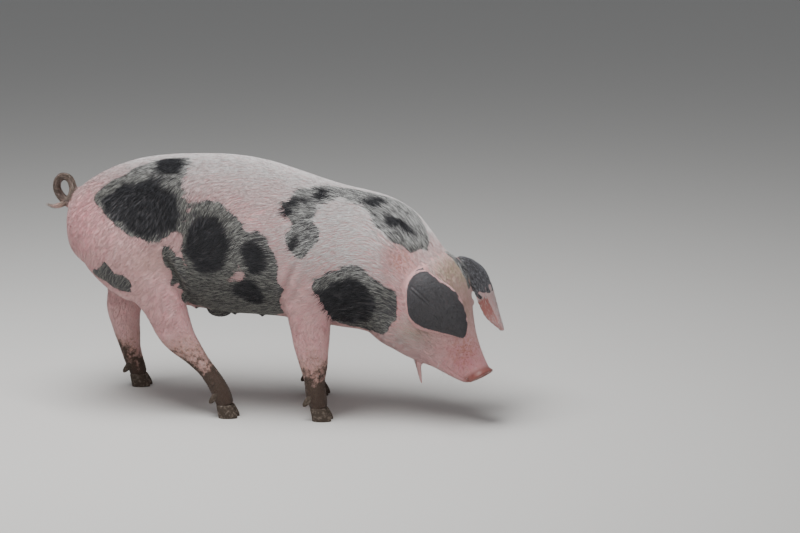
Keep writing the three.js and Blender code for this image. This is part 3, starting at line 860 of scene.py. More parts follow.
def behind_groove(along, straight):
    """1 on the thighs, 0 on the belly: which side of the groove in front of the thigh a place lies on."""
    right, left = (np.array(FOLDS[k][3])[::-1] for k in (0, 1))
    high = straight[:, 2]
    on_right = np.interp(high, right[:, 2], right[:, 0])
    groove = np.where(straight[:, 1] < 0, on_right, np.interp(high, left[:, 2], left[:, 0]))
    return smoothstep(-5, -11, along - groove) * (high < 402)


def patches(own):
    """All that colour depends on, for places in millimetres: signed distances to black skin, which also holds
    painted shade under the belly and at the left ear's root, and to black hair, and shares of rosy,
    white-haired (painted sheen along the back and on the left ear), bare, tan (painted shade under the
    belly), freckled, muddy, tail, ear, nose and nostril."""
    straight = straightened(own)
    level = np.interp(straight[:, 0], *CHART_LEVEL)
    girth = GIRTH * np.degrees(np.arctan2(straight[:, 2] - level, -straight[:, 1]))
    girth = girth + ripple(own, 46, 3) * 5 + ripple(own, 19, 4) * 3
    along = straight[:, 0] + ripple(own, 46, 5) * 5 + ripple(own, 19, 6) * 3
    legs = smoothstep(LEG_TOP, LEG_TOP - 20, straight[:, 2])

    def drawn(outlines):
        turns = [signed(along, girth + k * 360 * GIRTH, o) for o in outlines for k in (0, 1, -1)]
        return np.max(turns, axis=0)

    # The marks end where the trunk does: thighs, upper arms, shanks and lower legs are pink.
    dark = np.minimum(drawn(DARK_SKIN_AND_SHADE), 2.5 - drawn(PINK_BREAKS))
    core = np.minimum(drawn(BLACK_HAIR), dark)
    # The band of painted shade at the left ear's root is laid into the black skin.
    crease_shade_gap, crease_shade_share = run_distance(own, EAR_CREASE_SHADE)
    dark = np.maximum(dark, 19 - 9 * crease_shade_share - crease_shade_gap + 3 * ripple(own, 19, 8))
    off_trunk = nearest(trunk_tree, own)[2]
    thigh = behind_groove(along, straight) * (straight[:, 0] > THIGH_REAR)
    arm = smoothstep(7, 11, off_trunk) * (straight[:, 2] < ARM_TOP) * (straight[:, 0] > 0)
    shank = smoothstep(12, 18, off_trunk) * (straight[:, 2] < SHANK_TOP) * (np.abs(straight[:, 1]) > 60)
    limb = 200 * np.max([thigh, arm, shank, legs], axis=0)
    dark, core = dark - limb, core - limb

    # The ears are dark but for their curled rear rims and, on the left ear, the pale lower half.
    ear, inner = np.zeros((2, len(own)))
    for name in EARS:
        gap, down, across, face = ear_place(own, name)
        on = (1 - smoothstep(3, 8, gap)) * smoothstep(0.5, 3, off_trunk) * (down > 0.03)
        curl = face < 0
        if name == "ear_left":
            # Near its root the inner face of the left ear stays dark: painted shade where the ear meets the
            # head.
            curl = curl & (down > 0.5)
            reach = np.minimum((1.1 - np.abs(across)) * 46, (0.52 - down) * 150 + 8 * ripple(own, 17, 10))
            curl = curl | ((down > 0.56) & (across < -0.1 - 0.9 * np.abs(down - 0.76)))
            strength = 0.45 + 0.55 * smoothstep(0.9, 0.66, down)
            far_ear = on
        else:
            reach = np.where(across < 0, 1.06 + across, 0.93 - across) * 46 + 1.5 * ripple(own, 17, 9)
            curl = curl | (across < -0.9 + 0.8 * np.abs(down - 0.4))
            strength = 0.35
        edge = np.maximum(-across - 0.84, 0.9 * (down - 0.9)) * 46
        mine = np.where(curl, np.where((face < 0) & (down > 0.2), edge, -4), reach)
        dark = np.where(on > 0.5, mine, dark)
        core = np.where(on > 0.5, -40, core)
        ear = np.maximum(ear, on)
        inner = np.maximum(inner, on * curl * strength)
    tail_gap, tail_share = run_distance(own, TAIL_LINE)
    on_tail = (tail_gap < 16) * smoothstep(0.08, 0.16, tail_share)
    both = sided(straight, 0)[0]

    def blots(rows):
        sums = [r[6] * np.exp(-(((both - r[:3]) / r[3:6]) ** 2).sum(1)) for r in rows]
        return np.clip(sum(sums), 0, 1)

    disc, reach, nostril = disc_place(straight)
    on_right = own[:, 1] < 0
    fore, hind = (np.where(on_right, *MUD_TOP[end]) for end in ("fore", "hind"))
    mud_top = np.where(straight[:, 0] > 0, fore, hind) + 14 * ripple(own, 60, 11)
    mud = np.where(straight[:, 0] < 300, (mud_top - own[:, 2]) / MUD_EDGE, NO_MUD)
    bare = blots(BARE)
    brown_tail = on_tail * (1 - 0.5 * smoothstep(0.72, 0.8, tail_share))
    return {
        "dark": np.clip(dark, -40, 40),
        "core": np.clip(core, -40, 40),
        "rosy": blots(ROSY),
        # On the left ear the white share is painted sheen.
        "white": blots(WHITE_HAIR_AND_SHEEN) * (1 - ear) * (1 - 0.9 * bare) * (1 - on_tail) + 0.75 * far_ear,
        "tan_and_shade": np.maximum(blots(TANNED_AND_SHADED) * (1 - ear), brown_tail),
        "freckled": blots(FRECKLED) * (1 - ear),
        "bare": bare,
        "tail": on_tail * (1 - smoothstep(0.7, 0.78, tail_share)),
        "mud": mud,
        "ear": ear,
        "inner": inner,
        "disc": smoothstep(-24, -9, (straight - DISC_MID) @ DISC_OUT) * smoothstep(1.75, 1.25, reach),
        "nostril": disc * smoothstep(1.25, 0.7, nostril),
    }


def give(mesh, values):
    """Stores named values on the points of a mesh."""
    for name, value in values.items():
        mesh.attributes.new(name, "FLOAT", "POINT").data.foreach_set("value", value.astype(np.float32))


skin_points = points_of(skin.data)
skin_looks = patches(own_place(skin_points))
give(skin.data, skin_looks)
skin.data.shade_smooth()


# ---------------------------------------------------------------------------------------------------
# Pelt colours. One node group turns the stored marks into the colour of the bare skin, the colour of the
# hair over it, and the masks of mud and of the wet nose, so that skin and coat carry the same markings.
PINK = (0.60, 0.36, 0.35)
ROSE = (0.55, 0.215, 0.24)
# The orange-red inside of the ears, darkened as painted shade.
SHADED_EAR_ORANGE = (0.27, 0.075, 0.055)
BLACK_SKIN = (0.048, 0.045, 0.049)
TAN = (0.36, 0.27, 0.20)
FRECKLE = (0.34, 0.11, 0.10)
REDDENED = (0.42, 0.17, 0.12)
NOSE_RED = (0.22, 0.07, 0.055)
STAIN = (0.30, 0.17, 0.11)
TAIL_SKIN = (0.15, 0.115, 0.10)
NOSTRIL_RED = (0.10, 0.02, 0.018)
MUD = (0.030, 0.020, 0.014)
DRY_MUD = (0.065, 0.045, 0.031)
WHITE_HAIR = (0.68, 0.68, 0.67)
GREY_HAIR = (0.31, 0.31, 0.275)
TAN_HAIR = (0.52, 0.41, 0.26)
EAR_HAIR = (0.085, 0.080, 0.084)
# Pale bluish grey laid over the left ear's hair: painted sheen.
EAR_HAIR_SHEEN = (0.46, 0.47, 0.51)
TAIL_HAIR = (0.09, 0.065, 0.05)
BLACK_HAIR_LOW, BLACK_HAIR_HIGH = (0.008, 0.008, 0.010), (0.032, 0.032, 0.037)


def fill(tree, node, inputs):
    """Sets a node's inputs: each to a value, an output to link, or the name of a mark on the mesh."""
    for name, value in inputs.items():
        socket = node.inputs[name]
        if isinstance(value, str):
            value = put(tree, "Attribute", "Fac", {}, attribute_name=value)
        if isinstance(value, bpy.types.NodeSocket):
            tree.links.new(value, socket)
        else:
            socket.default_value = (*value, 1) if socket.type == "RGBA" else value


def put(tree, kind, out, inputs, **settings):
    """Adds a shader node, sets its options and inputs, and gives one of its outputs."""
    made = tree.nodes.new("ShaderNode" + kind)
    for name, value in settings.items():
        setattr(made, name, value)
    fill(tree, made, inputs)
    return made.outputs[out]


def plus(tree, a, b):
    """The sum of two values."""
    return put(tree, "Math", 0, {0: a, 1: b}, operation="ADD")


def times(tree, a, b):
    """The product of two values."""
    return put(tree, "Math", 0, {0: a, 1: b}, operation="MULTIPLY")


def about_half(tree, noise, size):
    """Noise from 0 to 1 turned to noise about 0."""
    return times(tree, put(tree, "Math", 0, {0: noise, 1: 0.5}, operation="SUBTRACT"), size)


def blend(tree, share, a, b):
    """A colour between two colours."""
    return put(tree, "Mix", 2, {0: share, 6: a, 7: b}, data_type="RGBA")


def ease(tree, value, low, high, to=1.0):
    """0 below low, `to` above high, a smooth step between."""
    inputs = {0: value, 1: low, 2: high, 3: 0.0, 4: to}
    return put(tree, "MapRange", 0, inputs, interpolation_type="SMOOTHSTEP")


def grain_of(tree, scale, detail=3.0, rough=0.55, stretch=(1, 1, 1)):
    """Noise from 0 to 1 about 0.5, `scale` blotches to the metre, over Object coordinates."""
    place = put(tree, "TexCoord", "Object", {})
    place = put(tree, "Mapping", 0, {"Vector": place, "Scale": stretch})
    inputs = {"Vector": place, "Scale": scale, "Detail": detail, "Roughness": rough}
    return put(tree, "TexNoise", "Fac", inputs)


pelt = bpy.data.node_groups.new("pelt_colours", "ShaderNodeTree")
mottle = grain_of(pelt, 55, 4, 0.6)
fine_mottle = grain_of(pelt, 420, 3, 0.6)
# Black skin, with the painted shade laid into it under the belly and at the left ear's root.
black_skin_and_shade = ease(pelt, plus(pelt, "dark", about_half(pelt, fine_mottle, 7)), -0.8, 1.2)
black_hair = ease(pelt, plus(pelt, "core", times(pelt, "shade", 5)), -1.5, 1.5)

# Bare skin: pink to rosy, then one colour over another, each by its own share.
rosy = plus(pelt, "rosy", about_half(pelt, mottle, 1.3))
flesh_colour = blend(pelt, ease(pelt, rosy, -0.3, 1.1), PINK, ROSE)
spots = put(pelt, "TexVoronoi", "Distance", {"Vector": put(pelt, "TexCoord", "Object", {}), "Scale": 170.0})
freckle = times(pelt, ease(pelt, spots, 0.42, 0.2), "freckled")
blotch = ease(pelt, grain_of(pelt, 130, 3, 0.6), 0.44, 0.62, 0.75)
muddy = about_half(pelt, grain_of(pelt, 90, 5, 0.65), 5.5)
for share, colour in (
    (times(pelt, "inner", 0.75), SHADED_EAR_ORANGE),
    (times(pelt, "tan_and_shade", ease(pelt, mottle, 0.3, 0.6)), TAN),
    (times(pelt, "freckled", blotch), REDDENED),
    (times(pelt, freckle, ease(pelt, mottle, 0.36, 0.5, 0.85)), FRECKLE),
    (times(pelt, "tail", 0.8), TAIL_SKIN),
    (times(pelt, "disc", 0.92), NOSE_RED),
    (black_skin_and_shade, BLACK_SKIN),
    ("nostril", NOSTRIL_RED),
    (ease(pelt, plus(pelt, "mud", times(pelt, muddy, 0.6)), -1.3, 0.7, 0.6), STAIN),
):
    flesh_colour = blend(pelt, share, flesh_colour, colour)
muddy = ease(pelt, plus(pelt, "mud", muddy), -0.1, 1.3, 0.94)
skin_colour = blend(pelt, muddy, flesh_colour, blend(pelt, fine_mottle, MUD, DRY_MUD))

# Hair: pale on pink skin, which shows between, grey on black skin and on the painted shade laid into it, dark
# on the ears but pale bluish with painted sheen on the left ear, black in the cores.
bright = ease(pelt, "shade", -1, 1)
# Where the white share is high the hair covers more of the pink; along the back and crest that whiteness is
# partly painted sheen.
cover = plus(pelt, times(pelt, "white", 0.75), 0.2)
cover = times(pelt, cover, plus(pelt, times(pelt, "bare", -0.6), 1.0))
cover = times(pelt, cover, ease(pelt, "shade", -2.4, 1.0, 1.15))
on_pink = blend(pelt, cover, flesh_colour, blend(pelt, times(pelt, "tan_and_shade", 0.8), WHITE_HAIR, TAN_HAIR))
on_black = blend(pelt, bright, BLACK_SKIN, blend(pelt, times(pelt, "white", 0.65), GREY_HAIR, WHITE_HAIR))
on_ear = blend(pelt, bright, BLACK_SKIN, blend(pelt, "white", EAR_HAIR, EAR_HAIR_SHEEN))
hair = on_pink
for share, colour in (
    (black_skin_and_shade, blend(pelt, "ear", on_black, on_ear)),
    (black_hair, blend(pelt, bright, BLACK_HAIR_LOW, BLACK_HAIR_HIGH)),
    (times(pelt, "tail", 0.85), TAIL_HAIR),
    (muddy, blend(pelt, bright, MUD, DRY_MUD)),
):
    hair = blend(pelt, share, hair, colour)

wet = put(pelt, "Math", 0, {0: "disc", 1: "nostril"}, operation="MAXIMUM")
ends = pelt.nodes.new("NodeGroupOutput")
for name, kind, value in (
    ("Skin", "Color", skin_colour),
    ("Hair", "Color", hair),
    ("Mud", "Float", muddy),
    ("Wet", "Float", wet),
):
    pelt.interface.new_socket(name, in_out="OUTPUT", socket_type="NodeSocket" + kind)
    pelt.links.new(value, ends.inputs[name])


def material_of(name):
    """A new material, its node tree and its Principled shader."""
    made = bpy.data.materials.new(name)
    made.use_nodes = True
    return made, made.node_tree, made.node_tree.nodes["Principled BSDF"]


def pelt_marks(tree):
    """The outputs of the pelt's node group, put in a material's tree."""
    marks = tree.nodes.new("ShaderNodeGroup")
    marks.node_tree = pelt
    return marks.outputs


# Over the colour lie fine creases, the streaks of the flat hair, and crusts of dried mud.
skin_look, tree, shader = material_of("skin")
marks = pelt_marks(tree)
streaks = times(tree, grain_of(tree, 1.0, 3, 0.6, (70, 420, 420)), 0.6)
creases = times(tree, grain_of(tree, 260, 4, 0.6), 0.7)
crust = times(tree, times(tree, marks["Mud"], grain_of(tree, 150, 5, 0.7)), 2.2)
relief = plus(tree, plus(tree, streaks, creases), crust)
gloss = plus(tree, times(tree, marks["Wet"], -0.28), 0.62)
fill(tree, shader, {
    "Base Color": marks["Skin"],
    "Subsurface Weight": 0.12,
    "Subsurface Radius": (0.010, 0.004, 0.0025),
    "Subsurface Scale": 1.0,
    "Sheen Weight": 0.12,
    "Sheen Roughness": 0.4,
    "Specular IOR Level": 0.4,
    "Roughness": plus(tree, gloss, times(tree, marks["Mud"], 0.25)),
    "Normal": put(tree, "Bump", 0, {"Height": relief, "Strength": 0.7, "Distance": 0.0011}),
})
skin.data.materials.clear()
skin.data.materials.append(skin_look)

# ---------------------------------------------------------------------------------------------------
# Coat. Short stiff bristles lie flat along the body in tapered tufts about a millimetre across, rooted in
# the skin: long on the back and crest, short on face and legs, thin over the bare pink parts.
# Lie of the hair, root to tip, on the right side: x, side, z of a place, then the way there.
LIE = [
    (-480, -60, 450, -0.1, -0.1, -1), (-430, -110, 500, -0.6, -0.2, -0.75),
    (-350, -120, 520, -0.65, -0.3, -0.7), (-400, -140, 400, -0.5, 0, -0.85),
    (-300, -150, 450, -0.5, -0.1, -0.85), (-190, -150, 480, -0.12, -0.1, -1),
    (-160, -150, 520, -0.2, 0, -0.95), (-130, -150, 500, -0.1, 0, -1), (-60, -160, 470, -0.6, 0, -0.8),
    (-30, -165, 420, -0.75, 0, -0.65), (-90, -160, 350, -1, 0, 0.1), (-150, -150, 330, -0.95, 0, 0.3),
    (30, -160, 340, -0.95, 0, 0.25), (30, -165, 400, -0.95, 0, 0.1), (40, -160, 460, -0.95, 0, -0.15),
    (-60, -80, 600, -1, -0.2, -0.1), (-250, -40, 605, -0.9, -0.3, -0.2),
    (120, -140, 450, -0.87, 0, -0.5), (150, -100, 530, -0.97, -0.1, -0.1),
    (220, -130, 450, -0.9, 0, -0.35), (200, -150, 330, -0.85, 0, -0.5), (330, -60, 500, -0.85, 0, 0.5),
    (380, -100, 420, -0.75, 0, 0.6), (350, -130, 330, -0.85, 0, 0.35), (330, -120, 230, -0.95, 0, 0.1),
    (470, -80, 380, -0.6, -0.1, 0.75), (520, -60, 300, -0.45, -0.1, 0.85),
    (560, -40, 200, -0.35, 0, 0.9), (470, -100, 200, -0.8, 0, 0.5), (540, -40, 120, -0.5, 0, 0.8),
    (-224, -121, 256, -0.45, 0, -0.9), (-150, -130, 140, 0.3, 0, -0.95), (150, -120, 200, -0.1, 0, -1),
    (155, -120, 80, 0, 0, -1), (-390, -125, 200, 0, 0, -1), (0, 0, 215, -1, 0, 0),
    (-150, 0, 225, -1, 0, 0), (150, 0, 200, -1, 0, 0),
]


LIE_BLUR = 12  # mm added to the distance from each place in LIE, so that the ways blend


def lie_at(own, straight, normals):
    """The way the hair lies: the anchors' ways, weighted by one over distance cubed, turned with the
    neck; along the tail to its tip; down the ears; then laid flat on the skin."""
    rows = np.array(LIE)
    both = np.vstack([rows, rows * (1, -1, 1, 1, -1, 1)])
    way = np.zeros((len(own), 3))
    for part in np.array_split(np.arange(len(own)), max(1, len(own) // 20000)):
        gap = np.linalg.norm(straight[part, None] - both[None, :, :3], axis=-1)
        way[part] = (1 / (gap + LIE_BLUR) ** 3) @ both[:, 3:]
    s, c = bend_at(straight[:, 0])
    way = unit(np.stack([way[:, 0] * c + way[:, 1] * s, way[:, 1] * c - way[:, 0] * s, way[:, 2]], -1))
    tail = np.array(TAIL_LINE, float)
    gap, share = run_distance(own, tail)
    piece = np.minimum((share * (len(tail) - 1)).astype(int), len(tail) - 2)
    on_tail = (gap < 18)[:, None]
    way = np.where(on_tail, unit(tail[piece + 1] - tail[piece]), way)
    for name in EARS:
        gap, down, _, _ = ear_place(own, name)
        _, _, _, along, _ = ear_frame(name)
        row = (down * (len(along) - 1)).astype(int)
        way = np.where((gap < 5)[:, None], along[row], way)
    return unit(way - (way * normals).sum(1)[:, None] * normals)


def scattered(mesh, density, count, rng):
    """Random places on a mesh: triangles are drawn by area times the density at their corners, and a
    place in each by two random shares. Gives the corners' numbers and their shares."""
    mesh.calc_loop_triangles()
    tri = read(mesh.loop_triangles, "vertices", 3, int)
    corner = points_of(mesh)[tri]
    area = np.linalg.norm(np.cross(corner[:, 1] - corner[:, 0], corner[:, 2] - corner[:, 0]), axis=1) / 2
    hold = area * density[tri].mean(1)
    pick = tri[np.searchsorted(np.cumsum(hold) / hold.sum(), rng.uniform(size=count)).clip(0, len(tri) - 1)]
    u, v = rng.uniform(size=(2, count))
    fold = u + v > 1
    u, v = np.where(fold, 1 - u, u), np.where(fold, 1 - v, v)
    return pick, np.stack([1 - u - v, u, v], -1)


rng = np.random.default_rng(41)
own = own_place(skin_points)
straight = straightened(own)
above = straight[:, 2] - np.interp(straight[:, 0], *CHART_LEVEL)
on_ear, bare = skin_looks["ear"], skin_looks["bare"]
on_back = smoothstep(60, 150, above) * (straight[:, 0] < 470)
on_face = smoothstep(455, 500, straight[:, 0]) * (1 - on_ear) * smoothstep(345, 285, straight[:, 2])
on_leg = smoothstep(235, 185, straight[:, 2]) * (straight[:, 0] < 300)
on_mark = smoothstep(-2, 2, skin_looks["dark"])
tail_gap = run_distance(own, TAIL_LINE)[0]
on_tail = 1 - smoothstep(14, 20, tail_gap)
off_sole = smoothstep(4, 9, own[:, 2] - FLOOR_LEVEL)
per_area = 1 + 0.4 * on_back + 0.5 * on_mark + 0.3 * skin_looks["white"] + 1.8 * on_face + 0.6 * on_leg
per_area += 1.4 * on_ear + 1.5 * on_tail
per_area *= 1 - 0.6 * bare
per_area *= 1 - 0.97 * np.maximum(skin_looks["disc"], skin_looks["nostril"])
per_area *= 1 - 0.8 * skin_looks["inner"]
per_area *= off_sole**2
for side in (-1, 1):
    per_area *= smoothstep(13, 17, np.linalg.norm(straight * (1, side, 1) - EYE_SEAT, axis=1))
TUFTS = 140000
long = 20 + 8 * on_back + 5 * skin_looks["white"] - 11 * on_leg - 13 * on_face
long = np.clip(long - 13 * on_ear - 8 * on_tail, 5, 40)
broad = 0.95 + 0.1 * on_back - 0.35 * on_face - 0.25 * on_leg - 0.4 * on_ear - 0.3 * on_tail
proud = 1.3 + 0.9 * on_back - 0.7 * on_leg - 0.8 * on_face - 0.9 * on_ear - 0.5 * on_tail
proud = np.clip(proud * (1 - 0.5 * bare), 0.35, 3)
broad *= 1 - 0.3 * bare
corners, shares = scattered(skin.data, per_area, TUFTS, rng)


def at_roots(values):
    """Values on the skin's points, blended to the roots."""
    return (values[corners] * (shares[..., None] if values.ndim == 2 else shares)).sum(1)


roots = at_roots(skin_points)
root_normals = unit(at_roots(read(skin.data.vertex_normals, "vector")))
own = own_place(roots)
way = lie_at(own, straightened(own), root_normals)
STRAY = 0.14  # how far, in radians, the hairs stray from the lie
stray = rng.normal(0, STRAY, len(roots))[:, None]
way = unit(way + np.cross(root_normals, way) * stray)
length = at_roots(long) * rng.uniform(0.7, 1.2, len(roots)) / 1000
width = at_roots(broad) * rng.uniform(0.7, 1.25, len(roots)) / 1000
height = at_roots(proud) * rng.uniform(0.5, 1.15, len(roots)) / 1000
skin_tree = BVHTree.FromObject(skin, bpy.context.evaluated_depsgraph_get())
face_start = read(skin.data.polygons, "loop_start", 1, int)
loop_point = read(skin.data.loops, "vertex_index", 1, int)[:, 0]


def over_skin(p, rise):
    """Places lifted to a height above the nearest skin, its normal there, and its distance into black
    skin."""
    found = [skin_tree.find_nearest(q) for q in p.tolist()]
    spot, out, face = (np.array([f[k] for f in found]) for k in range(3))
    first = face_start[face]
    dark = skin_looks["dark"][loop_point[first + np.arange(3)]].mean(1)
    return spot + out * rise[:, None], out, dark


middle, middle_normals, dark_middle = over_skin(roots + way * (length * 0.5)[:, None], height * 0.75)
tips, _, dark_tip = over_skin(roots + way * length[:, None], height * rng.uniform(0.5, 1.3, len(roots)))
ROOT_SINK = 0.0004  # the tufts' roots stand this deep in the skin
cross = np.cross(root_normals, way)
ring_0 = roots - root_normals * ROOT_SINK
half_0, half_1 = cross * (width * 0.36)[:, None], cross * (width * 0.5)[:, None]
thick = (width * 0.3)[:, None]
tuft_points = np.stack(
    [
        ring_0 - half_0, ring_0 + half_0, ring_0 + root_normals * thick,
        middle - half_1, middle + half_1, middle + middle_normals * thick,
        tips,
    ],
    1,
)
TUFT_FACES = np.array([
    (0, 2, 1), (0, 1, 4), (0, 4, 3), (1, 2, 5), (1, 5, 4),
    (2, 0, 3), (2, 3, 5), (3, 4, 6), (4, 5, 6), (5, 3, 6),
])
TUFT_PATCH = np.array([(-1, 0), (1, 0), (0, 0.2), (-1, 1), (1, 1), (0, 1.2), (0, 2)]) * 0.0015 - (0, 0.0015)
tuft_looks = {name: at_roots(skin_looks[name]) for name in skin_looks}
tuft_looks["dark"] = np.stack([tuft_looks["dark"]] * 3 + [dark_middle] * 3 + [dark_tip], -1)
tuft_looks["shade"] = rng.uniform(-1, 1, len(roots))


CHART_REAR, CHART_LONG = -500, 1130  # the length of body that the unwrap takes in
CHART_LEG_TOP = 232  # the legs have their own places on the unwrap below this level


def charted(own):
    """Each root's place on an unwrap of the skin: trunk, neck and head by length and girth, legs by height
    and the angle about their own middle line, ears by root-to-tip and edge-to-edge, tail by its length."""
    straight = straightened(own)
    level = np.interp(straight[:, 0], *CHART_LEVEL)
    turn = np.arctan2(straight[:, 2] - level, -straight[:, 1]) / (2 * np.pi) + 0.5
    u = 0.01 + 0.98 * np.clip((straight[:, 0] - CHART_REAR) / CHART_LONG, 0, 1)
    v = 0.01 + 0.53 * turn
    for k, rows in enumerate(LEGS.values()):
        path = np.array(rows, float)
        mine = (own[:, 1] > 0) == (path[-1, 1] > 0)
        mine &= (own[:, 2] < CHART_LEG_TOP) & ((own[:, 0] > 0) == (path[-1, 0] > 0))
        order = np.argsort(path[:, 2])
        mid = [np.interp(own[:, 2], path[order, 2], path[order, i]) for i in (0, 1)]
        turn = np.arctan2(own[:, 1] - mid[1], own[:, 0] - mid[0]) / (2 * np.pi) + 0.5
        u = np.where(mine, 0.01 + 0.245 * k + 0.23 * turn, u)
        share = (own[:, 2] - FLOOR_LEVEL) / (CHART_LEG_TOP - FLOOR_LEVEL)
        v = np.where(mine, 0.56 + 0.21 * np.clip(share, 0, 1), v)
    for k, name in enumerate(EARS):
        gap, down, across, face = ear_place(own, name)
        u = np.where(gap < 5, 0.02 + 0.2 * (2 * k + (face > 0)) + 0.085 * (across + 1), u)
        v = np.where(gap < 5, 0.79 + 0.19 * down, v)
    gap, share = run_distance(own, TAIL_LINE)
    u = np.where(gap < 18, 0.82 + 0.16 * share, u)
    v = np.where(gap < 18, 0.80 + 0.05 * (own[:, 1] > 0) + 0.1 * smoothstep(8, 18, gap), v)
    return np.stack([u, v], -1)


def coat_piece(name, points, looks, places):
    """One mesh of tufts: seven points and ten faces each. A tuft carries its root's marks on all its
    points, but for the edge of black skin, which falls where it does on the skin below. In the map OFBake
    every tuft is a patch three thousandths across at its root's place."""
    count = len(points)
    mesh = bpy.data.meshes.new(name)
    faces = (TUFT_FACES[None] + 7 * np.arange(count)[:, None, None]).reshape(-1)
    mesh.vertices.add(7 * count)
    mesh.vertices.foreach_set("co", points.astype(np.float32).ravel())
    mesh.loops.add(len(faces))
    mesh.loops.foreach_set("vertex_index", faces.astype(np.int32))
    mesh.polygons.add(len(faces) // 3)
    mesh.polygons.foreach_set("loop_start", np.arange(0, len(faces), 3, dtype=np.int32))
    mesh.update(calc_edges=True)
    mesh.validate()
    give(mesh, {key: (v if v.ndim == 2 else np.repeat(v, 7)).ravel() for key, v in looks.items()})
    spots = (places[:, None] + TUFT_PATCH[None]).reshape(-1, 2)
    mesh.uv_layers.new(name="OFBake").data.foreach_set("uv", spots[faces].astype(np.float32).ravel())
    mesh.shade_smooth()
    mesh.materials.append(coat_look)
    piece = object_of(name, mesh)
    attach(piece, "root")
    return piece


coat_look, tree, shader = material_of("coat")
hair_grain = grain_of(tree, 1.0, 2, 0.6, (300, 2400, 2400))
fill(tree, shader, {
    "Base Color": pelt_marks(tree)["Hair"],
    "Roughness": 0.55,
    "Specular IOR Level": 0.22,
    "Sheen Weight": 0.05,
    "Normal": put(tree, "Bump", 0, {"Height": hair_grain, "Strength": 0.4, "Distance": 0.0002}),
})

# The tufts are dealt at random to pieces of equal size, so that no piece is too heavy to handle.
TUFTS_A_PIECE = 19000
deal = rng.permutation(len(roots))
places = charted(own)
for k, part in enumerate(np.array_split(deal, math.ceil(len(roots) / TUFTS_A_PIECE))):
    looks = {key: value[part] for key, value in tuft_looks.items()}
    coat_piece(f"coat_{k + 1}", tuft_points[part], looks, places[part])


# Longer bristles stand off the skin one by one: a wisp at the tail's tip and whiskers round the snout.
def bristles(name, base, ways, size, thick, droop, pale):
    """Tufts from free roots: the middle leaves along the way, the tip sags below it by `droop`, and
    `pale` runs from the tail's brown hair (0) to white (1)."""
    count = len(base)
    ways = unit(ways)
    across = unit(np.cross(ways, (0.3, 0.2, 1)))
    up = np.cross(across, ways)
    a, b = across * (thick / 2)[:, None], across * (thick * 0.4)[:, None]
    ridge = up * (thick * 0.7)[:, None]
    mid = base + ways * (size * 0.5)[:, None]
    end = base + ways * size[:, None] - np.array([0, 0, 1]) * (droop * size)[:, None]
    points = np.stack([base - a, base + a, base + ridge, mid - b, mid + b, mid + ridge, end], 1)
    near = own_place(base)
    looks = patches(near)
    looks["shade"] = rng.uniform(0, 1, count)
    for key in ("mud", "disc", "nostril", "inner", "ear"):
        looks[key] = np.full(count, -1.0) if key == "mud" else np.zeros(count)
    looks["white"] = np.full(count, pale)
    looks["tail"] = np.full(count, 1 - pale)
    return coat_piece(name, points, looks, charted(near))


WISP_THICK, WHISKER_THICK = 0.0008, 0.0005
wisps = 90
tail = spline(TAIL, 6)
at = rng.integers(int(len(tail) * 0.78), len(tail) - 1, wisps)
spread = unit(rng.normal(size=(wisps, 3)))
base = placed(tail[at, :3] + spread * (tail[at, 3:] * 0.7))
ways = unit(tail[at + 1, :3] - tail[at, :3]) + spread * 0.22 + np.array([-0.25, 0, 0.05])
size = rng.uniform(0.007, 0.014, wisps)
bristles("tail_wisp", base, ways, size, np.full(wisps, WISP_THICK), rng.uniform(0, 0.15, wisps), 0.35)

whiskers = 70
side = rng.choice([-1, 1], whiskers)
low = rng.uniform(0, 1, whiskers)
near = turned(rng.uniform(478, 572, whiskers), side * rng.uniform(20, 44, whiskers), 92 + 70 * low)
spot, out, _ = over_skin(placed(near), np.full(whiskers, -ROOT_SINK))
ways = out + np.array([-0.25, 0, -0.35]) + rng.normal(0, 0.15, (whiskers, 3))
size = rng.uniform(0.012, 0.026, whiskers)
bristles("whiskers", spot, ways, size, np.full(whiskers, WHISKER_THICK), rng.uniform(0.1, 0.3, whiskers), 1.0)

# ---------------------------------------------------------------------------------------------------
# Eyes. A white ball with a brown iris and a round pupil under a clear bulging cornea, wet all over; the
# skin's lids close over all but its front. One closed surface, turned about the line of sight.
IRIS, PUPIL, CORNEA = 0.56, 0.24, 0.5  # half angles in radians, and the height of the bulge in mm
EYE_FORWARD = math.radians(20)  # the line of sight turns this far ahead of straight out


def eye_ball(side):
    """Rings about the line of sight; the radius grows by the bulge times the cosine bell of the angle
    within the iris. Gives the points, the faces and each point's angle from the line."""
    bend = np.concatenate([np.linspace(0.01, 0.75, 30), np.linspace(0.8, 3.13, 30)])
    round_ = np.linspace(0, 2 * np.pi, 64, endpoint=False)
    radius = EYE_RADIUS - 0.4 + 2 * CORNEA * (1 + np.cos(np.pi * np.clip(bend / IRIS, 0, 1))) / 2
    ahead = (radius * np.cos(bend))[:, None] + 0 * round_
    off = (radius * np.sin(bend))[:, None]
    a, b = off * np.cos(round_), off * np.sin(round_)
    sight = np.array([math.sin(EYE_FORWARD), side * math.cos(EYE_FORWARD), 0])
    level = np.array([math.cos(EYE_FORWARD), -side * math.sin(EYE_FORWARD), 0])
    local = ahead[..., None] * sight + a[..., None] * level + b[..., None] * np.array([0, 0, 1])
    ball, faces = shell(local + EYE_SEAT * (1, side, 1))
    return placed(turned(*ball.T)), faces, np.repeat(bend, 64)


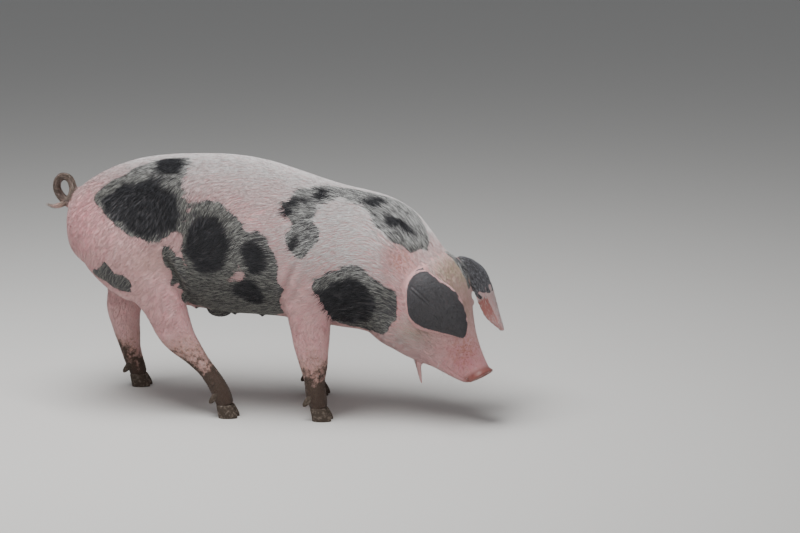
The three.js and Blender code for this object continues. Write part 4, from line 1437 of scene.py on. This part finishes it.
eye_look, tree, shader = material_of("eye")
angle = "from_sight"
fibres = grain_of(tree, 1800, 3, 0.7)
iris = blend(tree, fibres, (0.05, 0.022, 0.010), (0.16, 0.075, 0.03))
iris = blend(tree, ease(tree, angle, IRIS - 0.12, IRIS), iris, (0.012, 0.008, 0.006))
white_of = blend(tree, ease(tree, fibres, 0.45, 0.75), (0.62, 0.52, 0.48), (0.50, 0.22, 0.19))
colour = blend(tree, ease(tree, angle, IRIS - 0.02, IRIS + 0.05), iris, white_of)
colour = blend(tree, ease(tree, angle, PUPIL + 0.02, PUPIL - 0.03), colour, (0.004, 0.004, 0.005))
fill(tree, shader, {
    "Base Color": colour,
    "Roughness": ease(tree, angle, IRIS, IRIS + 0.1, 0.25),
    "Coat Weight": 1.0,
    "Coat Roughness": 0.03,
})
for name, side in (("eye_right", -1), ("eye_left", 1)):
    ball, faces, angles = eye_ball(side)
    mesh = mesh_of(name + "_ball", ball, faces)
    give(mesh, {"from_sight": angles})
    mesh.shade_smooth()
    mesh.materials.append(eye_look)
    eye = object_of(name + "_ball", mesh)
    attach(eye, "root")
    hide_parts(name)

# ---------------------------------------------------------------------------------------------------
# Claws. Two horn claws under each foot carry the weight on flat soles, with a cleft between them, and two
# small dewclaws hang behind, clear of the ground. Horn is grey-brown, ringed and caked with mud.
FEET = {
    "hind_right": (-66, -132),
    "hind_left": (-363, 128),
    "fore_right": (169, -121),
    "fore_left": (112, 120),
}
# height, reach ahead, reach behind, half width, how far it leans ahead
CLAW_RINGS = [
    (0, 25.5, 18.8, 10.8, 3), (0.6, 26.6, 19.7, 11.7, 3), (3, 27.3, 20.2, 12.3, 3),
    (9, 26.6, 20.5, 12.6, 2.5), (18, 24, 20.5, 12.5, 1), (25, 21.4, 20.3, 12.1, -0.7),
    (31, 18.6, 19.6, 11.2, -2), (33.5, 15, 16, 8.5, -2.5),
]


def claw(x, y, inner):
    """Level sections: ellipses longer ahead than behind, narrowed to the toe by a third of the squared
    cosine, skewed towards the cleft, and ridged a little by rings of growth."""
    z, front, back, wide, lean = (c[:, None] for c in spline(CLAW_RINGS, 5).T)
    a = np.arange(56) / 56 * 2 * np.pi
    c, s = np.cos(a)[None], np.sin(a)[None]
    growth = 0.25 * np.sin(z * 1.9 + 0.6 * c) * smoothstep(3, 8, z)
    taper = np.where(c > 0, 1 - 0.35 * c * c, 1)
    px = x + lean + (np.where(c > 0, front, back) + growth) * c
    py = y - inner * 0.12 * wide * c + (wide + growth) * taper * s
    return np.stack([px, py, FLOOR_LEVEL + z + 0 * c], -1)


def dewclaw(x, y, z, out):
    """A blunt bent cone: ellipses along a short path down and back."""
    rows = [
        (x + 14, y - 2 * out, z + 15, 8.6, 7.6),
        (x + 4, y, z + 5, 8.5, 7.5),
        (x - 5, y + 1.5 * out, z - 6, 6.6, 6),
        (x - 8.4, y + 1.9 * out, z - 10.6, 4.6, 4.2),
        (x - 10, y + 2 * out, z - 13.3, 1.6, 1.5),
    ]
    return tube_rings(rows, 6, 40)


horn_look, tree, shader = material_of("horn")
fibre = grain_of(tree, 1.0, 4, 0.6, (700, 700, 60))
horn = blend(tree, fibre, (0.085, 0.062, 0.048), (0.20, 0.155, 0.12))
cake = ease(tree, grain_of(tree, 130, 5, 0.65), 0.36, 0.52, 0.95)
horn = blend(tree, cake, horn, blend(tree, grain_of(tree, 500, 3), MUD, DRY_MUD))
relief = plus(tree, times(tree, fibre, 0.5), times(tree, cake, grain_of(tree, 260, 4)))
fill(tree, shader, {
    "Base Color": horn,
    "Roughness": plus(tree, times(tree, cake, 0.4), 0.45),
    "Normal": put(tree, "Bump", 0, {"Height": relief, "Strength": 0.8, "Distance": 0.0009}),
})
for leg, (x, y) in FEET.items():
    for toe, out in (("inner", -1), ("outer", 1)):
        toward = out * (1 if y > 0 else -1)
        shapes = {
            f"{leg}_claw_{toe}": claw(x + 1, y + 13.2 * toward, toward),
            f"{leg}_dewclaw_{toe}": dewclaw(x - 27, y + 17 * toward, FLOOR_LEVEL + 50, toward),
        }
        for node, rings in shapes.items():
            horn_points, horn_faces = shell(rings)
            mesh = mesh_of(node + "_horn", placed(horn_points), horn_faces)
            mesh.shade_smooth()
            mesh.materials.append(horn_look)
            piece = object_of(node + "_horn", mesh)
            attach(piece, "root")
            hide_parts(node)

# ---------------------------------------------------------------------------------------------------
# Floor and light. A plain pale floor, and soft studio light: one wide lamp overhead, a weaker one low
# on the camera's side, and an even pale surround.
floor_mesh = mesh_of("floor", [(-30, -30, 0), (30, -30, 0), (30, 30, 0), (-30, 30, 0)], [[0, 1, 2, 3]])
floor = object_of("floor", floor_mesh)
plain, tree, shader = material_of("plain_floor")
fill(tree, shader, {"Base Color": (0.6, 0.59, 0.57), "Roughness": 0.9})
floor_mesh.materials.append(plain)


def lamp(name, place, aim, size, watts):
    """A square soft light at one place, turned to another."""
    data = bpy.data.lights.new(name, "AREA")
    data.size = size
    data.energy = watts
    light = object_of(name, data)
    back = Vector(place) - Vector(aim)
    light.matrix_world = Matrix.Translation(place) @ back.to_track_quat("Z", "Y").to_matrix().to_4x4()


lamp("overhead", (-0.5, -0.6, 3.0), (0, 0, 0.3), 2.0, 150)
lamp("side", (1.2, -4.5, 1.6), (0, 0, 0.3), 2.0, 40)
world = bpy.data.worlds.new("surround")
world.use_nodes = True
fill(world.node_tree, world.node_tree.nodes["Background"], {"Color": (0.8, 0.82, 0.85), "Strength": 0.29})
bpy.context.scene.world = world
